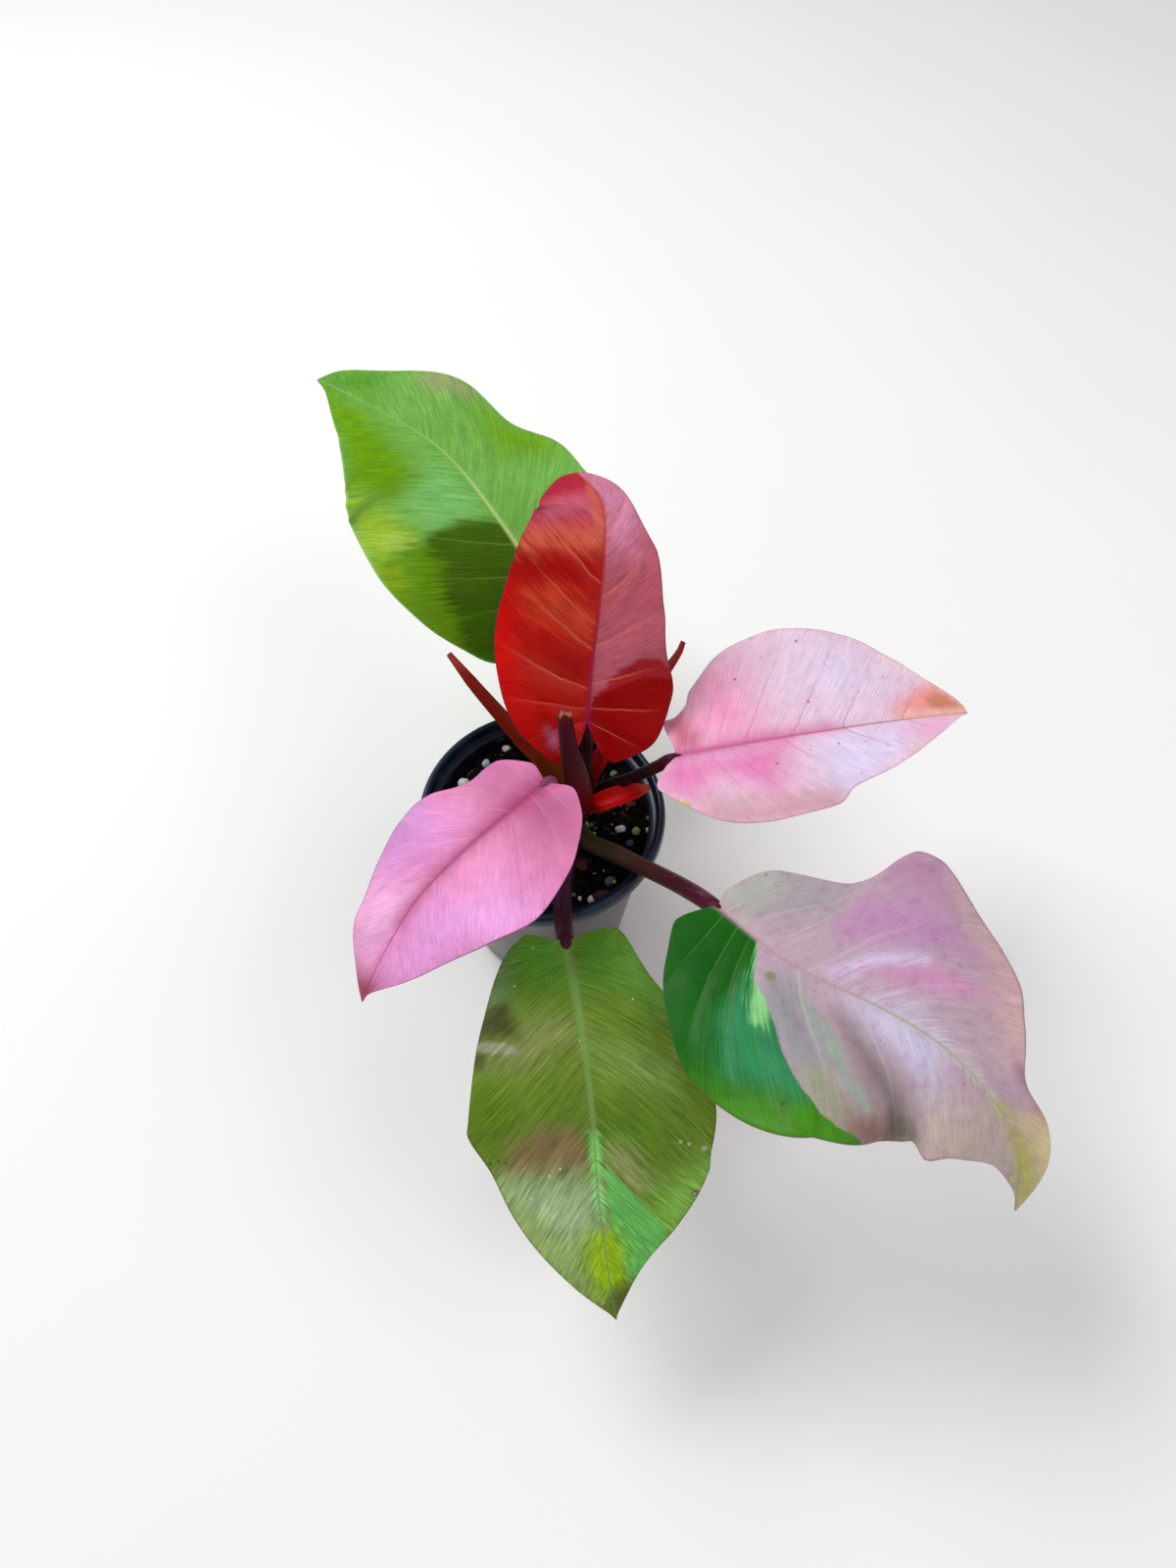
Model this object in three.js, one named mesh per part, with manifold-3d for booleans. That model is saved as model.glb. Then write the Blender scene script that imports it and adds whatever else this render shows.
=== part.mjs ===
// Potted cherry red philodendron. Millimetres, +Z up, origin at the centre of the pot's underside.
import * as THREE from 'three';
import Module from 'manifold-3d';

const wasm = await Module();
wasm.setup();

// pot
const POT_HEIGHT = 95;
const LIP_RADIUS = 55;
const LIP_HEIGHT = 6.4;
const WALL = 1.4;
const WALL_TOP_RADIUS = 49.3;
const WALL_FOOT_RADIUS = 38;
const FLOOR = 1.8;
const POT_SIDES = 48;
const DRAIN_HOLES = 8;
const DRAIN_RADIUS = 3.4;
// soil
const SOIL_LEVEL = 84;
const SOIL_SIDES = 30;
const SOIL_RINGS = 6;
// plant
const GAP = 0.3;
const BLADE = 0.9;
const RIB_DEPTH = 2.2;
const RIB_WIDTH = 2.4;
const GROOVE = 0.35;
const CROWN_FOOT = [12, -4];
const CROWN_RADIUS = 7.5;
const SPROUT_FOOT = [22, -10];

const vec = (p) => new THREE.Vector3(p[0], p[1], p[2]);

// closed body from a list of corners and triangles, corners at one place counted once
function body(points, faces) {
  const seen = new Map();
  const verts = [];
  const index = points.map((p) => {
    const key = p.map((c) => Math.round(c * 2000)).join(' ');
    if (!seen.has(key)) {
      seen.set(key, verts.length / 3);
      verts.push(p[0], p[1], p[2]);
    }
    return seen.get(key);
  });
  const tris = [];
  for (const f of faces) {
    const [a, b, c] = f.map((i) => index[i]);
    if (a !== b && b !== c && a !== c) tris.push(a, b, c);
  }
  const mesh = new wasm.Mesh({
    numProp: 3,
    vertProperties: new Float32Array(verts),
    triVerts: new Uint32Array(tris),
  });
  return new wasm.Manifold(mesh);
}

// closed body from a geometry
function fromGeometry(geometry) {
  const at = geometry.attributes.position;
  const points = [];
  for (let i = 0; i < at.count; i += 1) points.push([at.getX(i), at.getY(i), at.getZ(i)]);
  const list = geometry.index ? Array.from(geometry.index.array) : points.map((p, i) => i);
  const faces = [];
  for (let i = 0; i < list.length; i += 3) faces.push([list[i], list[i + 1], list[i + 2]]);
  return body(points, faces);
}

// turned body: profile of [radius, height] that starts and ends on the axis
function turned(profile, sides) {
  const lathe = new THREE.LatheGeometry(profile.map((p) => new THREE.Vector2(p[0], p[1])), sides);
  lathe.rotateX(Math.PI / 2);
  return fromGeometry(lathe);
}

// value between the entries of a list, u from 0 to 1
function along(list, u) {
  const k = Math.min(Math.max(u, 0), 1) * (list.length - 1);
  const i = Math.min(Math.floor(k), list.length - 2);
  return list[i] + (list[i + 1] - list[i]) * (k - i);
}

// a line through points as many short steps with the length so far at each
function trace(points, steps) {
  const curve = new THREE.CatmullRomCurve3(points.map(vec), false, 'catmullrom', 0.5);
  const list = [];
  const length = [0];
  for (let i = 0; i <= steps; i += 1) {
    list.push(curve.getPoint(i / steps));
    if (i > 0) length.push(length[i - 1] + list[i].distanceTo(list[i - 1]));
  }
  return { list, length, total: length[steps] };
}

function atLength(line, x) {
  const d = Math.min(Math.max(x, 0), line.total);
  let low = 0;
  let high = line.length.length - 1;
  while (high - low > 1) {
    const middle = (low + high) >> 1;
    if (line.length[middle] <= d) low = middle;
    else high = middle;
  }
  const f = (d - line.length[low]) / (line.length[high] - line.length[low]);
  return line.list[low].clone().lerp(line.list[high], f);
}

// Leaves. The midrib runs through points in space. Each side has an outline laid out flat, measured
// in mm along the midrib from where the stalk joins, and out from it. fold is the rise of each side
// in degrees at base and tip, curl bends it down again outwards, waves lift and drop the margin.
// A wave is [height, count along the leaf, phase in turns, distance from the midrib of full height].
const LEAVES = {
  back: {
    midrib: [[8, 79, 134], [-15, 112, 151], [-41, 145, 164], [-61, 160, 171], [-84, 172, 176], [-107, 186, 178]],
    left: [[-9, 11], [-13, 26], [-6, 40], [4, 48], [23, 59], [49, 65], [86, 60], [101, 59],
      [109, 56], [113, 50.6], [121.4, 45], [127.6, 38.3], [133.2, 31], [139.2, 23.1], [157, 6]],
    right: [[-8, 10], [-5, 26], [7, 41], [28, 48], [52, 46], [74, 47], [90, 36], [107, 37], [122, 33],
      [145, 22], [161, 11]],
    fold: [[9, 4], [9, 4]],
    curl: 0.002,
    waves: [[3, 1.5, -0.12, 58], [4, 2.5, -0.5, 45]],
    columns: 18,
    stalk: [[13, 1, 94], [12, 26, 106], [9, 56, 121]],
    radius: [4.4, 3.6],
    colour: 0x5f9a2c,
    stalkColour: 0x5d3a26,
  },
  red: {
    midrib: [[20, 11, 143], [22, 27, 163], [25, 42, 183], [27, 57, 199], [26, 75, 207], [16, 92, 207]],
    left: [[-9, 3], [-15, 7], [-15, 14], [-6, 25], [1, 31], [16, 37], [39, 41], [67, 36], [74, 34],
      [79.4, 31.4], [86, 29.2], [101.6, 25], [108, 17], [112, 8]],
    right: [[-5, 3], [-12, 11], [-11, 17], [-1, 30], [16, 35], [26, 35], [39, 31], [55, 27], [71, 22],
      [86, 13], [109, 3]],
    fold: [[26, 16], [26, 16]],
    curl: 0.008,
    waves: [[1.5, 1.5, 0.1, 38], [2, 2, 0.3, 34]],
    columns: 21,
    stalk: [[18, -1, 104], [19, 3, 112], [20, 9, 127]],
    radius: [3.6, 2.4],
    colour: 0xc02418,
    stalkColour: 0x4a1018,
  },
  pink: {
    midrib: [[56, -8, 150], [79, -5, 153], [108, 2, 151], [145, 13, 144], [184, 27, 131]],
    left: [[0, 3], [-3, 15], [2, 17], [7, 22], [11, 30], [28, 44], [52, 50], [75, 48], [100, 43],
      [112, 34], [122, 22], [134, 7]],
    right: [[-1, 2], [-5, 5], [-10, 14], [-7, 20], [4, 30], [19, 38], [35, 41], [53, 37], [64, 29],
      [85, 23], [109, 12], [130, 2]],
    fold: [[10, 6], [12, 4]],
    curl: 0.003,
    waves: [[4, 1.2, -0.35, 50], [3, 2.6, 0.5, 42]],
    columns: 17,
    stalk: [[16, 0, 98], [23, 4, 103], [32, 2, 113], [40, -2, 125], [49, -6, 139]],
    radius: [3.2, 2.6],
    colour: 0xdf9bb6,
    stalkColour: 0x3a1016,
  },
  lilac: {
    midrib: [[4, -24, 155], [-11, -41, 158], [-28, -56, 154], [-44, -70, 145], [-56, -85, 133],
      [-66, -100, 118]],
    left: [[0, 2], [-4, 7], [-4, 12], [3, 21], [14, 29], [24, 35], [41, 40], [57, 36], [74, 29],
      [96, 15], [110, 2]],
    right: [[0, 3], [-2, 6], [-2, 11], [6, 19], [21, 20], [28, 23], [38, 28], [51, 26], [66, 24],
      [80, 18], [91, 15], [108, 5]],
    fold: [[8, 8], [8, 8]],
    curl: 0.006,
    waves: [[2.5, 1.8, 0.3, 40], [3, 2.9, -0.055, 26]],
    columns: 16,
    stalk: [[13, -6, 98], [11, -11, 106], [7, -15, 130]],
    radius: [3.6, 2.6],
    colour: 0xd68bbf,
    stalkColour: 0x5b2a4a,
  },
  front: {
    midrib: [[12, -79, 128], [18, -115, 125], [22, -142, 117], [24, -167, 104], [28, -191, 82],
      [31, -204, 65]],
    left: [[1, 4], [-2, 10], [-2, 19], [3, 23], [19, 29], [37, 40], [52, 45], [68, 45], [82, 42],
      [91, 41], [102, 36], [112, 27], [125, 13], [143, 2]],
    right: [[-1, 4], [-3, 10], [-4, 16], [4, 25], [20, 33], [40, 40], [63, 45], [72, 45], [86, 37],
      [105, 28], [124, 16], [141, 4]],
    fold: [[5, 5], [5, 5]],
    curl: 0.005,
    waves: [[2.5, 2.3, 0.2, 45], [2.5, 2, 0.45, 45]],
    columns: 17,
    stalk: [[12, -7, 91], [12, -20, 95], [10, -39, 100], [10, -57, 108]],
    radius: [4.2, 3.8],
    colour: 0x6f8a32,
    stalkColour: 0x5a2c38,
  },
  broad: {
    midrib: [[69, -72, 144], [93, -98, 150], [121, -114, 151], [143, -127, 147], [161, -143, 137],
      [172, -157, 121], [174, -173, 102]],
    left: [[-1, 3], [-2, 9], [3, 23], [12, 31], [31, 44], [49, 50], [59, 61], [64, 64], [77, 59],
      [89, 53], [106, 43], [114, 30], [126, 15], [141, 14], [151, 11], [164, 4]],
    right: [[-1, 1], [-6, 12], [-5, 19], [8, 35], [24, 48], [34, 55], [52, 58], [75, 51], [102, 37],
      [108, 33], [117, 34], [124, 26], [136, 17], [150, 8], [162, 1]],
    fold: [[4, 2], [2, 0]],
    curl: 0.0035,
    waves: [[9, 2.35, 0.263, 62], [4, 2.6, 0.25, 58]],
    columns: 22,
    stalk: [[14, -6, 92], [21, -16, 94], [32, -24, 98], [46, -38, 109], [56, -50, 120], [63, -61, 131]],
    radius: [4.1, 3.6],
    colour: 0x7c8a62,
    stalkColour: 0x4b3a2c,
  },
};

// place, direction and sideways and upward directions of a leaf at a distance along its midrib
function ribFrame(leaf, x) {
  const d = Math.min(Math.max(x, 0), leaf.line.total);
  const point = atLength(leaf.line, d);
  const ahead = atLength(leaf.line, d + 1).sub(atLength(leaf.line, d - 1)).normalize();
  point.addScaledVector(ahead, x - d);
  const side = new THREE.Vector3(0, 0, 1).cross(ahead).normalize();
  const up = ahead.clone().cross(side);
  return { point, ahead, side, up, u: d / leaf.line.total };
}

// point of the leaf's upper face, y counts to the left
function onLeaf(leaf, x, y) {
  const f = ribFrame(leaf, x);
  const half = y >= 0 ? 0 : 1;
  const sign = y >= 0 ? 1 : -1;
  const d = Math.abs(y);
  const fold = THREE.MathUtils.degToRad(along(leaf.fold[half], f.u));
  const [height, count, phase, reach] = leaf.waves[half];
  const out = (Math.sin(fold) - Math.sin(fold - leaf.curl * d)) / leaf.curl;
  const rise = (Math.cos(fold - leaf.curl * d) - Math.cos(fold)) / leaf.curl;
  const wave = height * (d / reach) ** 2 * Math.sin(2 * Math.PI * (count * f.u + phase));
  return f.point.addScaledVector(f.side, sign * out).addScaledVector(f.up, rise + wave);
}

// upward normal of the leaf's face
function leafNormal(leaf, x, y) {
  const h = 0.8;
  const alongRib = onLeaf(leaf, x + h, y).sub(onLeaf(leaf, x - h, y));
  const across = onLeaf(leaf, x, y + h).sub(onLeaf(leaf, x, y - h));
  return alongRib.cross(across).normalize();
}

// the outline of one side, from the stalk to the tip, at even steps, moved outwards by grow
function margin(leaf, half, grow) {
  const flat = (half === 0 ? leaf.left : leaf.right).map((p) => [p[0], p[1], 0]);
  const line = trace([...flat, [leaf.line.total, 0, 0]], 240);
  const list = [];
  for (let i = 0; i <= leaf.columns; i += 1) list.push(atLength(line, (line.total * i) / leaf.columns));
  return list.map((p, i) => {
    if (i === leaf.columns) return new THREE.Vector3(p.x + grow / 1.4, 0, 0);
    const before = i === 0 ? new THREE.Vector3() : list[i - 1];
    const first = p.clone().sub(before).normalize();
    const second = list[i + 1].clone().sub(p).normalize();
    const outward = new THREE.Vector3(-first.y - second.y, first.x + second.x, 0).normalize();
    const moved = p.clone().addScaledVector(outward, grow);
    moved.y = Math.max(moved.y, 0.1);
    return moved;
  });
}

// rows from the midrib to the margin, close together at the midrib
const ROWS = [0, 0.09, 0.28, 0.52, 0.76, 1];
const VEIN_START = 1.75;
const VEIN_SWEEP = 1.4;

function blade(leaf, grow) {
  const points = [];
  const faces = [];
  const total = leaf.line.total;
  const last = leaf.columns;
  const edge = ROWS.length - 1;
  for (const half of [0, 1]) {
    const sign = half === 0 ? 1 : -1;
    const outline = margin(leaf, half, 1.4 * grow);
    const start = points.length;
    const id = (i, j, under) => start + (i * ROWS.length + j) * 2 + under;
    for (let i = 0; i <= last; i += 1) {
      const root = total * (i / last) ** VEIN_START + (i === 0 ? -1.4 * grow : 0) + (i === last ? grow : 0);
      for (const t of ROWS) {
        const x = root + (outline[i].x - root) * t ** VEIN_SWEEP;
        const d = outline[i].y * t;
        const rib = Math.exp(-((d / RIB_WIDTH) ** 2)) * (1 - i / last) ** 0.7;
        const place = onLeaf(leaf, x, sign * d);
        const normal = leafNormal(leaf, x, sign * d);
        const top = place.clone().addScaledVector(normal, grow - GROOVE * rib);
        const bottom = place.clone().addScaledVector(normal, -BLADE - RIB_DEPTH * rib - grow);
        points.push(top.toArray(), bottom.toArray());
      }
    }
    const quad = (a, b, c, d) => {
      const list = [[a, b, c], [a, c, d]];
      for (const f of list) faces.push(half === 0 ? f : [f[0], f[2], f[1]]);
    };
    for (let i = 0; i < last; i += 1) {
      for (let j = 0; j < edge; j += 1) {
        quad(id(i, j, 0), id(i + 1, j, 0), id(i + 1, j + 1, 0), id(i, j + 1, 0));
        const under = [id(i, j, 1), id(i, j + 1, 1), id(i + 1, j + 1, 1), id(i + 1, j, 1)];
        const list = [[under[0], under[2], under[3]], [under[0], under[1], under[2]]];
        for (const f of list) faces.push(half === 0 ? f : [f[0], f[2], f[1]]);
      }
      quad(id(i, edge, 0), id(i + 1, edge, 0), id(i + 1, edge, 1), id(i, edge, 1));
    }
    for (let j = 0; j < edge; j += 1) quad(id(0, j, 0), id(0, j + 1, 0), id(0, j + 1, 1), id(0, j, 1));
  }
  return body(points, faces);
}

// long body swept along a line. section is a closed outline of unit size, its second number pointing
// the way of facing; sizes are radii from start to end; mouth sinks the end cap, jag makes it ragged
function swept(path, sizes, section, facing, rings, options = {}) {
  const { grow = 0, mouth = 0, jag = 0 } = options;
  const line = trace(path, 40 * (path.length - 1));
  const count = section.length;
  const points = [];
  const faces = [];
  for (let i = 0; i <= rings; i += 1) {
    const x = (line.total * i) / rings;
    const centre = atLength(line, x);
    const ahead = atLength(line, x + 0.5).sub(atLength(line, x - 0.5)).normalize();
    const side = vec(facing).cross(ahead).normalize();
    const up = ahead.clone().cross(side);
    const size = along(sizes, i / rings) + grow;
    section.forEach((s, k) => {
      const p = centre.clone().addScaledVector(side, s[0] * size).addScaledVector(up, s[1] * size);
      if (i === rings) p.addScaledVector(ahead, jag * Math.cos(2.4 * k));
      points.push(p.toArray());
    });
  }
  const foot = points.push(atLength(line, 0).toArray()) - 1;
  const before = atLength(line, line.total - mouth - 0.01);
  const head = points.push(before.toArray()) - 1;
  for (let i = 0; i < rings; i += 1) {
    for (let k = 0; k < count; k += 1) {
      const a = i * count + k;
      const b = i * count + ((k + 1) % count);
      faces.push([a, b, b + count], [a, b + count, a + count]);
    }
  }
  for (let k = 0; k < count; k += 1) {
    const next = (k + 1) % count;
    faces.push([foot, next, k], [head, rings * count + k, rings * count + next]);
  }
  return body(points, faces);
}

function round(sides, flat = 1) {
  const list = [];
  for (let k = 0; k < sides; k += 1) {
    const a = (2 * Math.PI * k) / sides;
    list.push([Math.cos(a), Math.sin(a) * flat]);
  }
  return list;
}

// half open sheath, hollow on the side it faces
const SHEATH = [
  [1, 0.3], [0.5, -0.08], [0, -0.22], [-0.5, -0.08], [-1, 0.3],
  [-0.92, -0.25], [-0.55, -0.72], [0, -0.9], [0.55, -0.72], [0.92, -0.25],
];

// stalk of a leaf, from inside the crown to a little way under its blade
function stalk(leaf, grow) {
  const path = leaf.stalk.map((p) => [...p]);
  const [thick, thin] = leaf.radius;
  const under = [[-3, 0.62], [5, 0.95], [15, 1.15]];
  for (const [x, drop] of under) {
    const f = ribFrame(leaf, x);
    path.push(f.point.addScaledVector(f.up, -drop * thin - BLADE).toArray());
  }
  const sizes = [thick * 1.15, thick, thick, thin, thin, thin, thin, thin * 0.95, thin * 0.3];
  return swept(path, sizes, round(9, 0.92), [0.2, -0.5, 1], 12, { grow });
}

function largest(solid) {
  const parts = solid.decompose();
  return parts.reduce((best, part) => (part.volume() > best.volume() ? part : best));
}

// pot: wall, lip, inner ledge, floor and drain holes
const ledge = POT_HEIGHT - LIP_HEIGHT + 1;
const outerAt = (z) => WALL_FOOT_RADIUS + ((WALL_TOP_RADIUS - WALL_FOOT_RADIUS) * z) / (POT_HEIGHT - LIP_HEIGHT);
const innerAt = (z) => outerAt(z) - WALL;
let pot = turned([
  [0, 0], [WALL_FOOT_RADIUS - 2.6, 0], [WALL_FOOT_RADIUS - 0.6, 0.7], [outerAt(2.4), 2.4],
  [outerAt(POT_HEIGHT - LIP_HEIGHT), POT_HEIGHT - LIP_HEIGHT],
  [LIP_RADIUS - 0.7, POT_HEIGHT - LIP_HEIGHT + 0.1], [LIP_RADIUS - 0.1, POT_HEIGHT - LIP_HEIGHT + 0.8],
  [LIP_RADIUS, POT_HEIGHT - 2.6], [LIP_RADIUS - 0.5, POT_HEIGHT - 0.7], [LIP_RADIUS - 1.6, POT_HEIGHT],
  [LIP_RADIUS - 2.8, POT_HEIGHT - 0.2], [LIP_RADIUS - 3.5, POT_HEIGHT - 1.2], [LIP_RADIUS - 3.9, ledge + 0.9],
  [LIP_RADIUS - 5.6, ledge + 0.3], [innerAt(ledge), ledge - 0.8], [innerAt(FLOOR + 1.4), FLOOR + 1.4],
  [innerAt(FLOOR) - 1.6, FLOOR], [0, FLOOR],
], POT_SIDES);
for (let i = 0; i < DRAIN_HOLES; i += 1) {
  const hole = new THREE.CylinderGeometry(DRAIN_RADIUS, DRAIN_RADIUS, 12, 10);
  hole.rotateZ(Math.PI / 4);
  hole.translate(WALL_FOOT_RADIUS - 1.6, 0, 1.6);
  hole.rotateZ((2 * Math.PI * (i + 0.5)) / DRAIN_HOLES);
  pot = pot.subtract(fromGeometry(hole));
}

// soil: rings of a bumpy top over the pot's inside, with grains pressed in and plain holes
const bump = (x, y) => 0.9 * Math.sin(x * 0.31 + 1.2 * Math.sin(y * 0.23)) * Math.cos(y * 0.37 + x * 0.11)
  + 0.6 * Math.sin(x * 0.83 - y * 0.61);
function soilBody() {
  const points = [];
  const faces = [];
  const rim = innerAt(SOIL_LEVEL) - 0.55;
  const foot = innerAt(FLOOR) - 2.2;
  for (let r = 1; r <= SOIL_RINGS; r += 1) {
    for (let k = 0; k < SOIL_SIDES; k += 1) {
      const a = (2 * Math.PI * (k + (r % 2) * 0.5)) / SOIL_SIDES;
      const x = ((rim * r) / SOIL_RINGS) * Math.cos(a);
      const y = ((rim * r) / SOIL_RINGS) * Math.sin(a);
      points.push([x, y, SOIL_LEVEL + (r === SOIL_RINGS ? -0.8 : bump(x, y))]);
    }
  }
  for (let k = 0; k < SOIL_SIDES; k += 1) {
    const a = (2 * Math.PI * (k + (SOIL_RINGS % 2) * 0.5)) / SOIL_SIDES;
    points.push([foot * Math.cos(a), foot * Math.sin(a), FLOOR + GAP]);
  }
  const top = points.push([0, 0, SOIL_LEVEL + bump(0, 0)]) - 1;
  const low = points.push([0, 0, FLOOR + GAP]) - 1;
  for (let r = 0; r < SOIL_RINGS; r += 1) {
    for (let k = 0; k < SOIL_SIDES; k += 1) {
      const next = (k + 1) % SOIL_SIDES;
      const a = r * SOIL_SIDES + k;
      const b = r * SOIL_SIDES + next;
      const c = a + SOIL_SIDES;
      const d = b + SOIL_SIDES;
      if (r === SOIL_RINGS - 1 || r % 2 === 0) faces.push([a, c, b], [b, c, d]);
      else faces.push([a, c, d], [a, d, b]);
    }
  }
  for (let k = 0; k < SOIL_SIDES; k += 1) {
    const next = (k + 1) % SOIL_SIDES;
    faces.push([top, k, next], [low, SOIL_RINGS * SOIL_SIDES + next, SOIL_RINGS * SOIL_SIDES + k]);
  }
  return body(points, faces);
}
// grains that stand out of the soil: [x, y, size]
const GRAINS = [
  [-18, 40, 2.2], [-25, 28, 2.2], [-36, 18, 3], [33, 20, 2.4], [24, 17, 1.6], [36, -8, 2.4], [42, -7, 2.6],
  [47, -4, 2.2], [22, -41, 2.4], [17, -39, 2], [38, -30, 2.2], [31, -36, 2.2], [20, -26, 3], [27, -31, 2.2],
  [-30, -16, 2.6], [-14, -34, 2.4], [4, -30, 2.2], [-38, 2, 2.2], [2, 22, 2.4], [-8, 33, 2.2],
];
let soil = soilBody();
GRAINS.forEach(([x, y, size], i) => {
  if (Math.hypot(x, y) + size > innerAt(SOIL_LEVEL) - 1) return;
  const grain = new THREE.IcosahedronGeometry(size, 0);
  grain.rotateX(i * 1.3);
  grain.rotateY(i * 0.7);
  grain.scale(1, 0.9, 0.8);
  grain.translate(x, y, SOIL_LEVEL + 0.2 * size);
  soil = soil.add(fromGeometry(grain));
});
function plainHole(x, y, radius, bottom) {
  const hole = new THREE.CylinderGeometry(radius, radius, SOIL_LEVEL + 6 - bottom, 20);
  hole.rotateX(Math.PI / 2);
  hole.translate(x, y, (SOIL_LEVEL + 6 + bottom) / 2);
  return fromGeometry(hole);
}
soil = soil.subtract(plainHole(...CROWN_FOOT, CROWN_RADIUS + 0.4, 57.7));
soil = largest(soil.subtract(plainHole(...SPROUT_FOOT, 1.7, 77.7)));

// crown: short stem standing in the soil, leaning a little and drawn in at its top
const crown = (grow) => {
  const path = [[12, -4, 58], [12, -4, 72], [12, -4, 86], [14.5, -4, 98], [18, -3, 109]];
  const sizes = [6.4, 7.4, 7.4, 7.3, 6.6, 5.2, 2.6];
  return swept(path, sizes, round(12), [0, 1, 0.001], 9, { grow });
};

// small green shoot: a stem with three leaflets
function sprout(grow) {
  const [x, y] = SPROUT_FOOT;
  const path = [[x, y, 78], [x, y, 84], [x - 1.6, y + 1, 89], [x - 3.6, y + 2, 92]];
  let shoot = swept(path, [1.2, 1.2, 1.1, 0.9], round(7), [0, 1, 0.1], 5, { grow });
  for (const [dx, dy, z, turn] of [[-0.2, -0.4, 89.5, 0.4], [-4.4, 0.2, 91, 2.6], [-3.2, 3, 93.5, 1.7]]) {
    const leaflet = new THREE.IcosahedronGeometry(2.3 + grow, 1);
    leaflet.scale(1.1, 0.8, 0.42);
    leaflet.rotateY(-0.5);
    leaflet.rotateZ(turn);
    leaflet.translate(x + dx, y + dy, z);
    shoot = shoot.add(fromGeometry(leaflet));
  }
  return largest(shoot);
}

const TOWARDS = [0.1, -0.6, 0.8];
const DRY = {
  sheath_stub: (grow) => swept([[16, -6, 103], [17, -8, 112], [16, -9, 132], [13, -6, 150], [11, 1, 166]],
    [4.6, 5.8, 5.4, 4.6, 3.6, 2.9], round(10, 0.62), [0.2, -1, 0.3], 9, { grow, mouth: 5, jag: 1.1 }),
  cataphyll_short: (grow) => swept([[18, -6, 106], [25, -7, 112], [32, -6, 115], [39, -4, 116], [47, -1, 115]],
    [2.4, 3.8, 4.4, 4.2, 3.4, 1.2], SHEATH, [0, -0.15, 1], 10, { grow }),
  cataphyll_left: (grow) => swept([[9, 1, 96], [5, 8, 109], [1, 12, 118], [-8, 16, 127], [-18, 23, 137], [-28, 31, 146], [-38, 40, 155]],
    [5.4, 6.4, 4.4, 3.4, 2.9, 2.4, 1.2], SHEATH, TOWARDS, 12, { grow }),
  cataphyll_right: (grow) => swept([[18, 1, 105], [24, 9, 119], [38, 23, 131], [57, 43, 147], [61, 49, 152]],
    [3.4, 3.8, 3.2, 2.6, 2.2, 1.1], SHEATH, TOWARDS, 10, { grow }),
};

for (const leaf of Object.values(LEAVES)) leaf.line = trace(leaf.midrib, 200 * (leaf.midrib.length - 1));

// Every piece of the plant in turn. One that would touch a piece placed before it is cut back
// from it by the gap.
const pieces = [];
const nodes = [];
function place(name, make, colour, roughness) {
  let solid = make(0);
  for (const other of pieces) {
    if (solid.intersect(other.grown).volume() > 0.002) solid = solid.subtract(other.grown);
    if (solid.intersect(other.solid).volume() > 0) solid = solid.subtract(other.solid);
  }
  solid = largest(solid);
  pieces.push({ solid, grown: make(GAP) });
  nodes.push([name, solid, colour, roughness]);
}
nodes.push(['pot', pot, 0x1b2a38, 0.55]);
nodes.push(['soil', soil, 0x17130f, 0.95]);
place('crown', crown, 0x3a2a1c, 0.8);
for (const [name, leaf] of Object.entries(LEAVES)) {
  place(`blade_${name}`, (grow) => blade(leaf, grow), leaf.colour, 0.4);
}
place('sheath_stub', DRY.sheath_stub, 0x4a0f16, 0.5);
for (const name of ['red', 'lilac', 'pink', 'broad', 'front', 'back']) {
  place(`petiole_${name}`, (grow) => stalk(LEAVES[name], grow), LEAVES[name].stalkColour, 0.45);
}
place('cataphyll_short', DRY.cataphyll_short, 0xb0201c, 0.45);
place('cataphyll_left', DRY.cataphyll_left, 0x9a4420, 0.6);
place('cataphyll_right', DRY.cataphyll_right, 0xa83422, 0.6);
place('sprout', sprout, 0x55b52a, 0.5);

const plant = new THREE.Group();
for (const [name, solid, colour, roughness] of nodes) {
  const mesh = solid.getMesh();
  const geometry = new THREE.BufferGeometry();
  geometry.setAttribute('position', new THREE.BufferAttribute(mesh.vertProperties, mesh.numProp));
  geometry.setIndex(new THREE.BufferAttribute(mesh.triVerts, 1));
  geometry.computeVertexNormals();
  const material = new THREE.MeshStandardMaterial({ color: colour, roughness, metalness: 0 });
  const node = new THREE.Mesh(geometry, material);
  node.name = name;
  plant.add(node);
}

export default plant;
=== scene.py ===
import math
import bmesh
import bpy
import numpy as np
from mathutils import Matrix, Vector


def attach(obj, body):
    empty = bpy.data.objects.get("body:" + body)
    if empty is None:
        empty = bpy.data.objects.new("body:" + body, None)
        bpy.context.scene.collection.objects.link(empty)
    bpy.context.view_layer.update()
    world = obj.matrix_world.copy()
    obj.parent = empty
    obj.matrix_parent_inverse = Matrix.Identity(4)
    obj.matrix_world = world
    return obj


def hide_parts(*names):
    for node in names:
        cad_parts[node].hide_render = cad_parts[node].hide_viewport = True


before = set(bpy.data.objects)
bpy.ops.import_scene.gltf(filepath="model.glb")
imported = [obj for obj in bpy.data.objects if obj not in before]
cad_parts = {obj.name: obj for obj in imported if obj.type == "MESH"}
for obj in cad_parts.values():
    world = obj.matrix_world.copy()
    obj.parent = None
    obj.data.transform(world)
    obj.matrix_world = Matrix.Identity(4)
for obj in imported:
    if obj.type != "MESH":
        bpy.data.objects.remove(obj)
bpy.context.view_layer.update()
MM = 0.001


# Lines and meshes
def between(a, b, c, d, f):
    """Catmull-Rom point at the share f of the way from b to c"""
    return 0.5 * (2 * b + (c - a) * f + (2 * a - 5 * b + 4 * c - d) * f**2 + (3 * b - 3 * c + d - a) * f**3)


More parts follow.
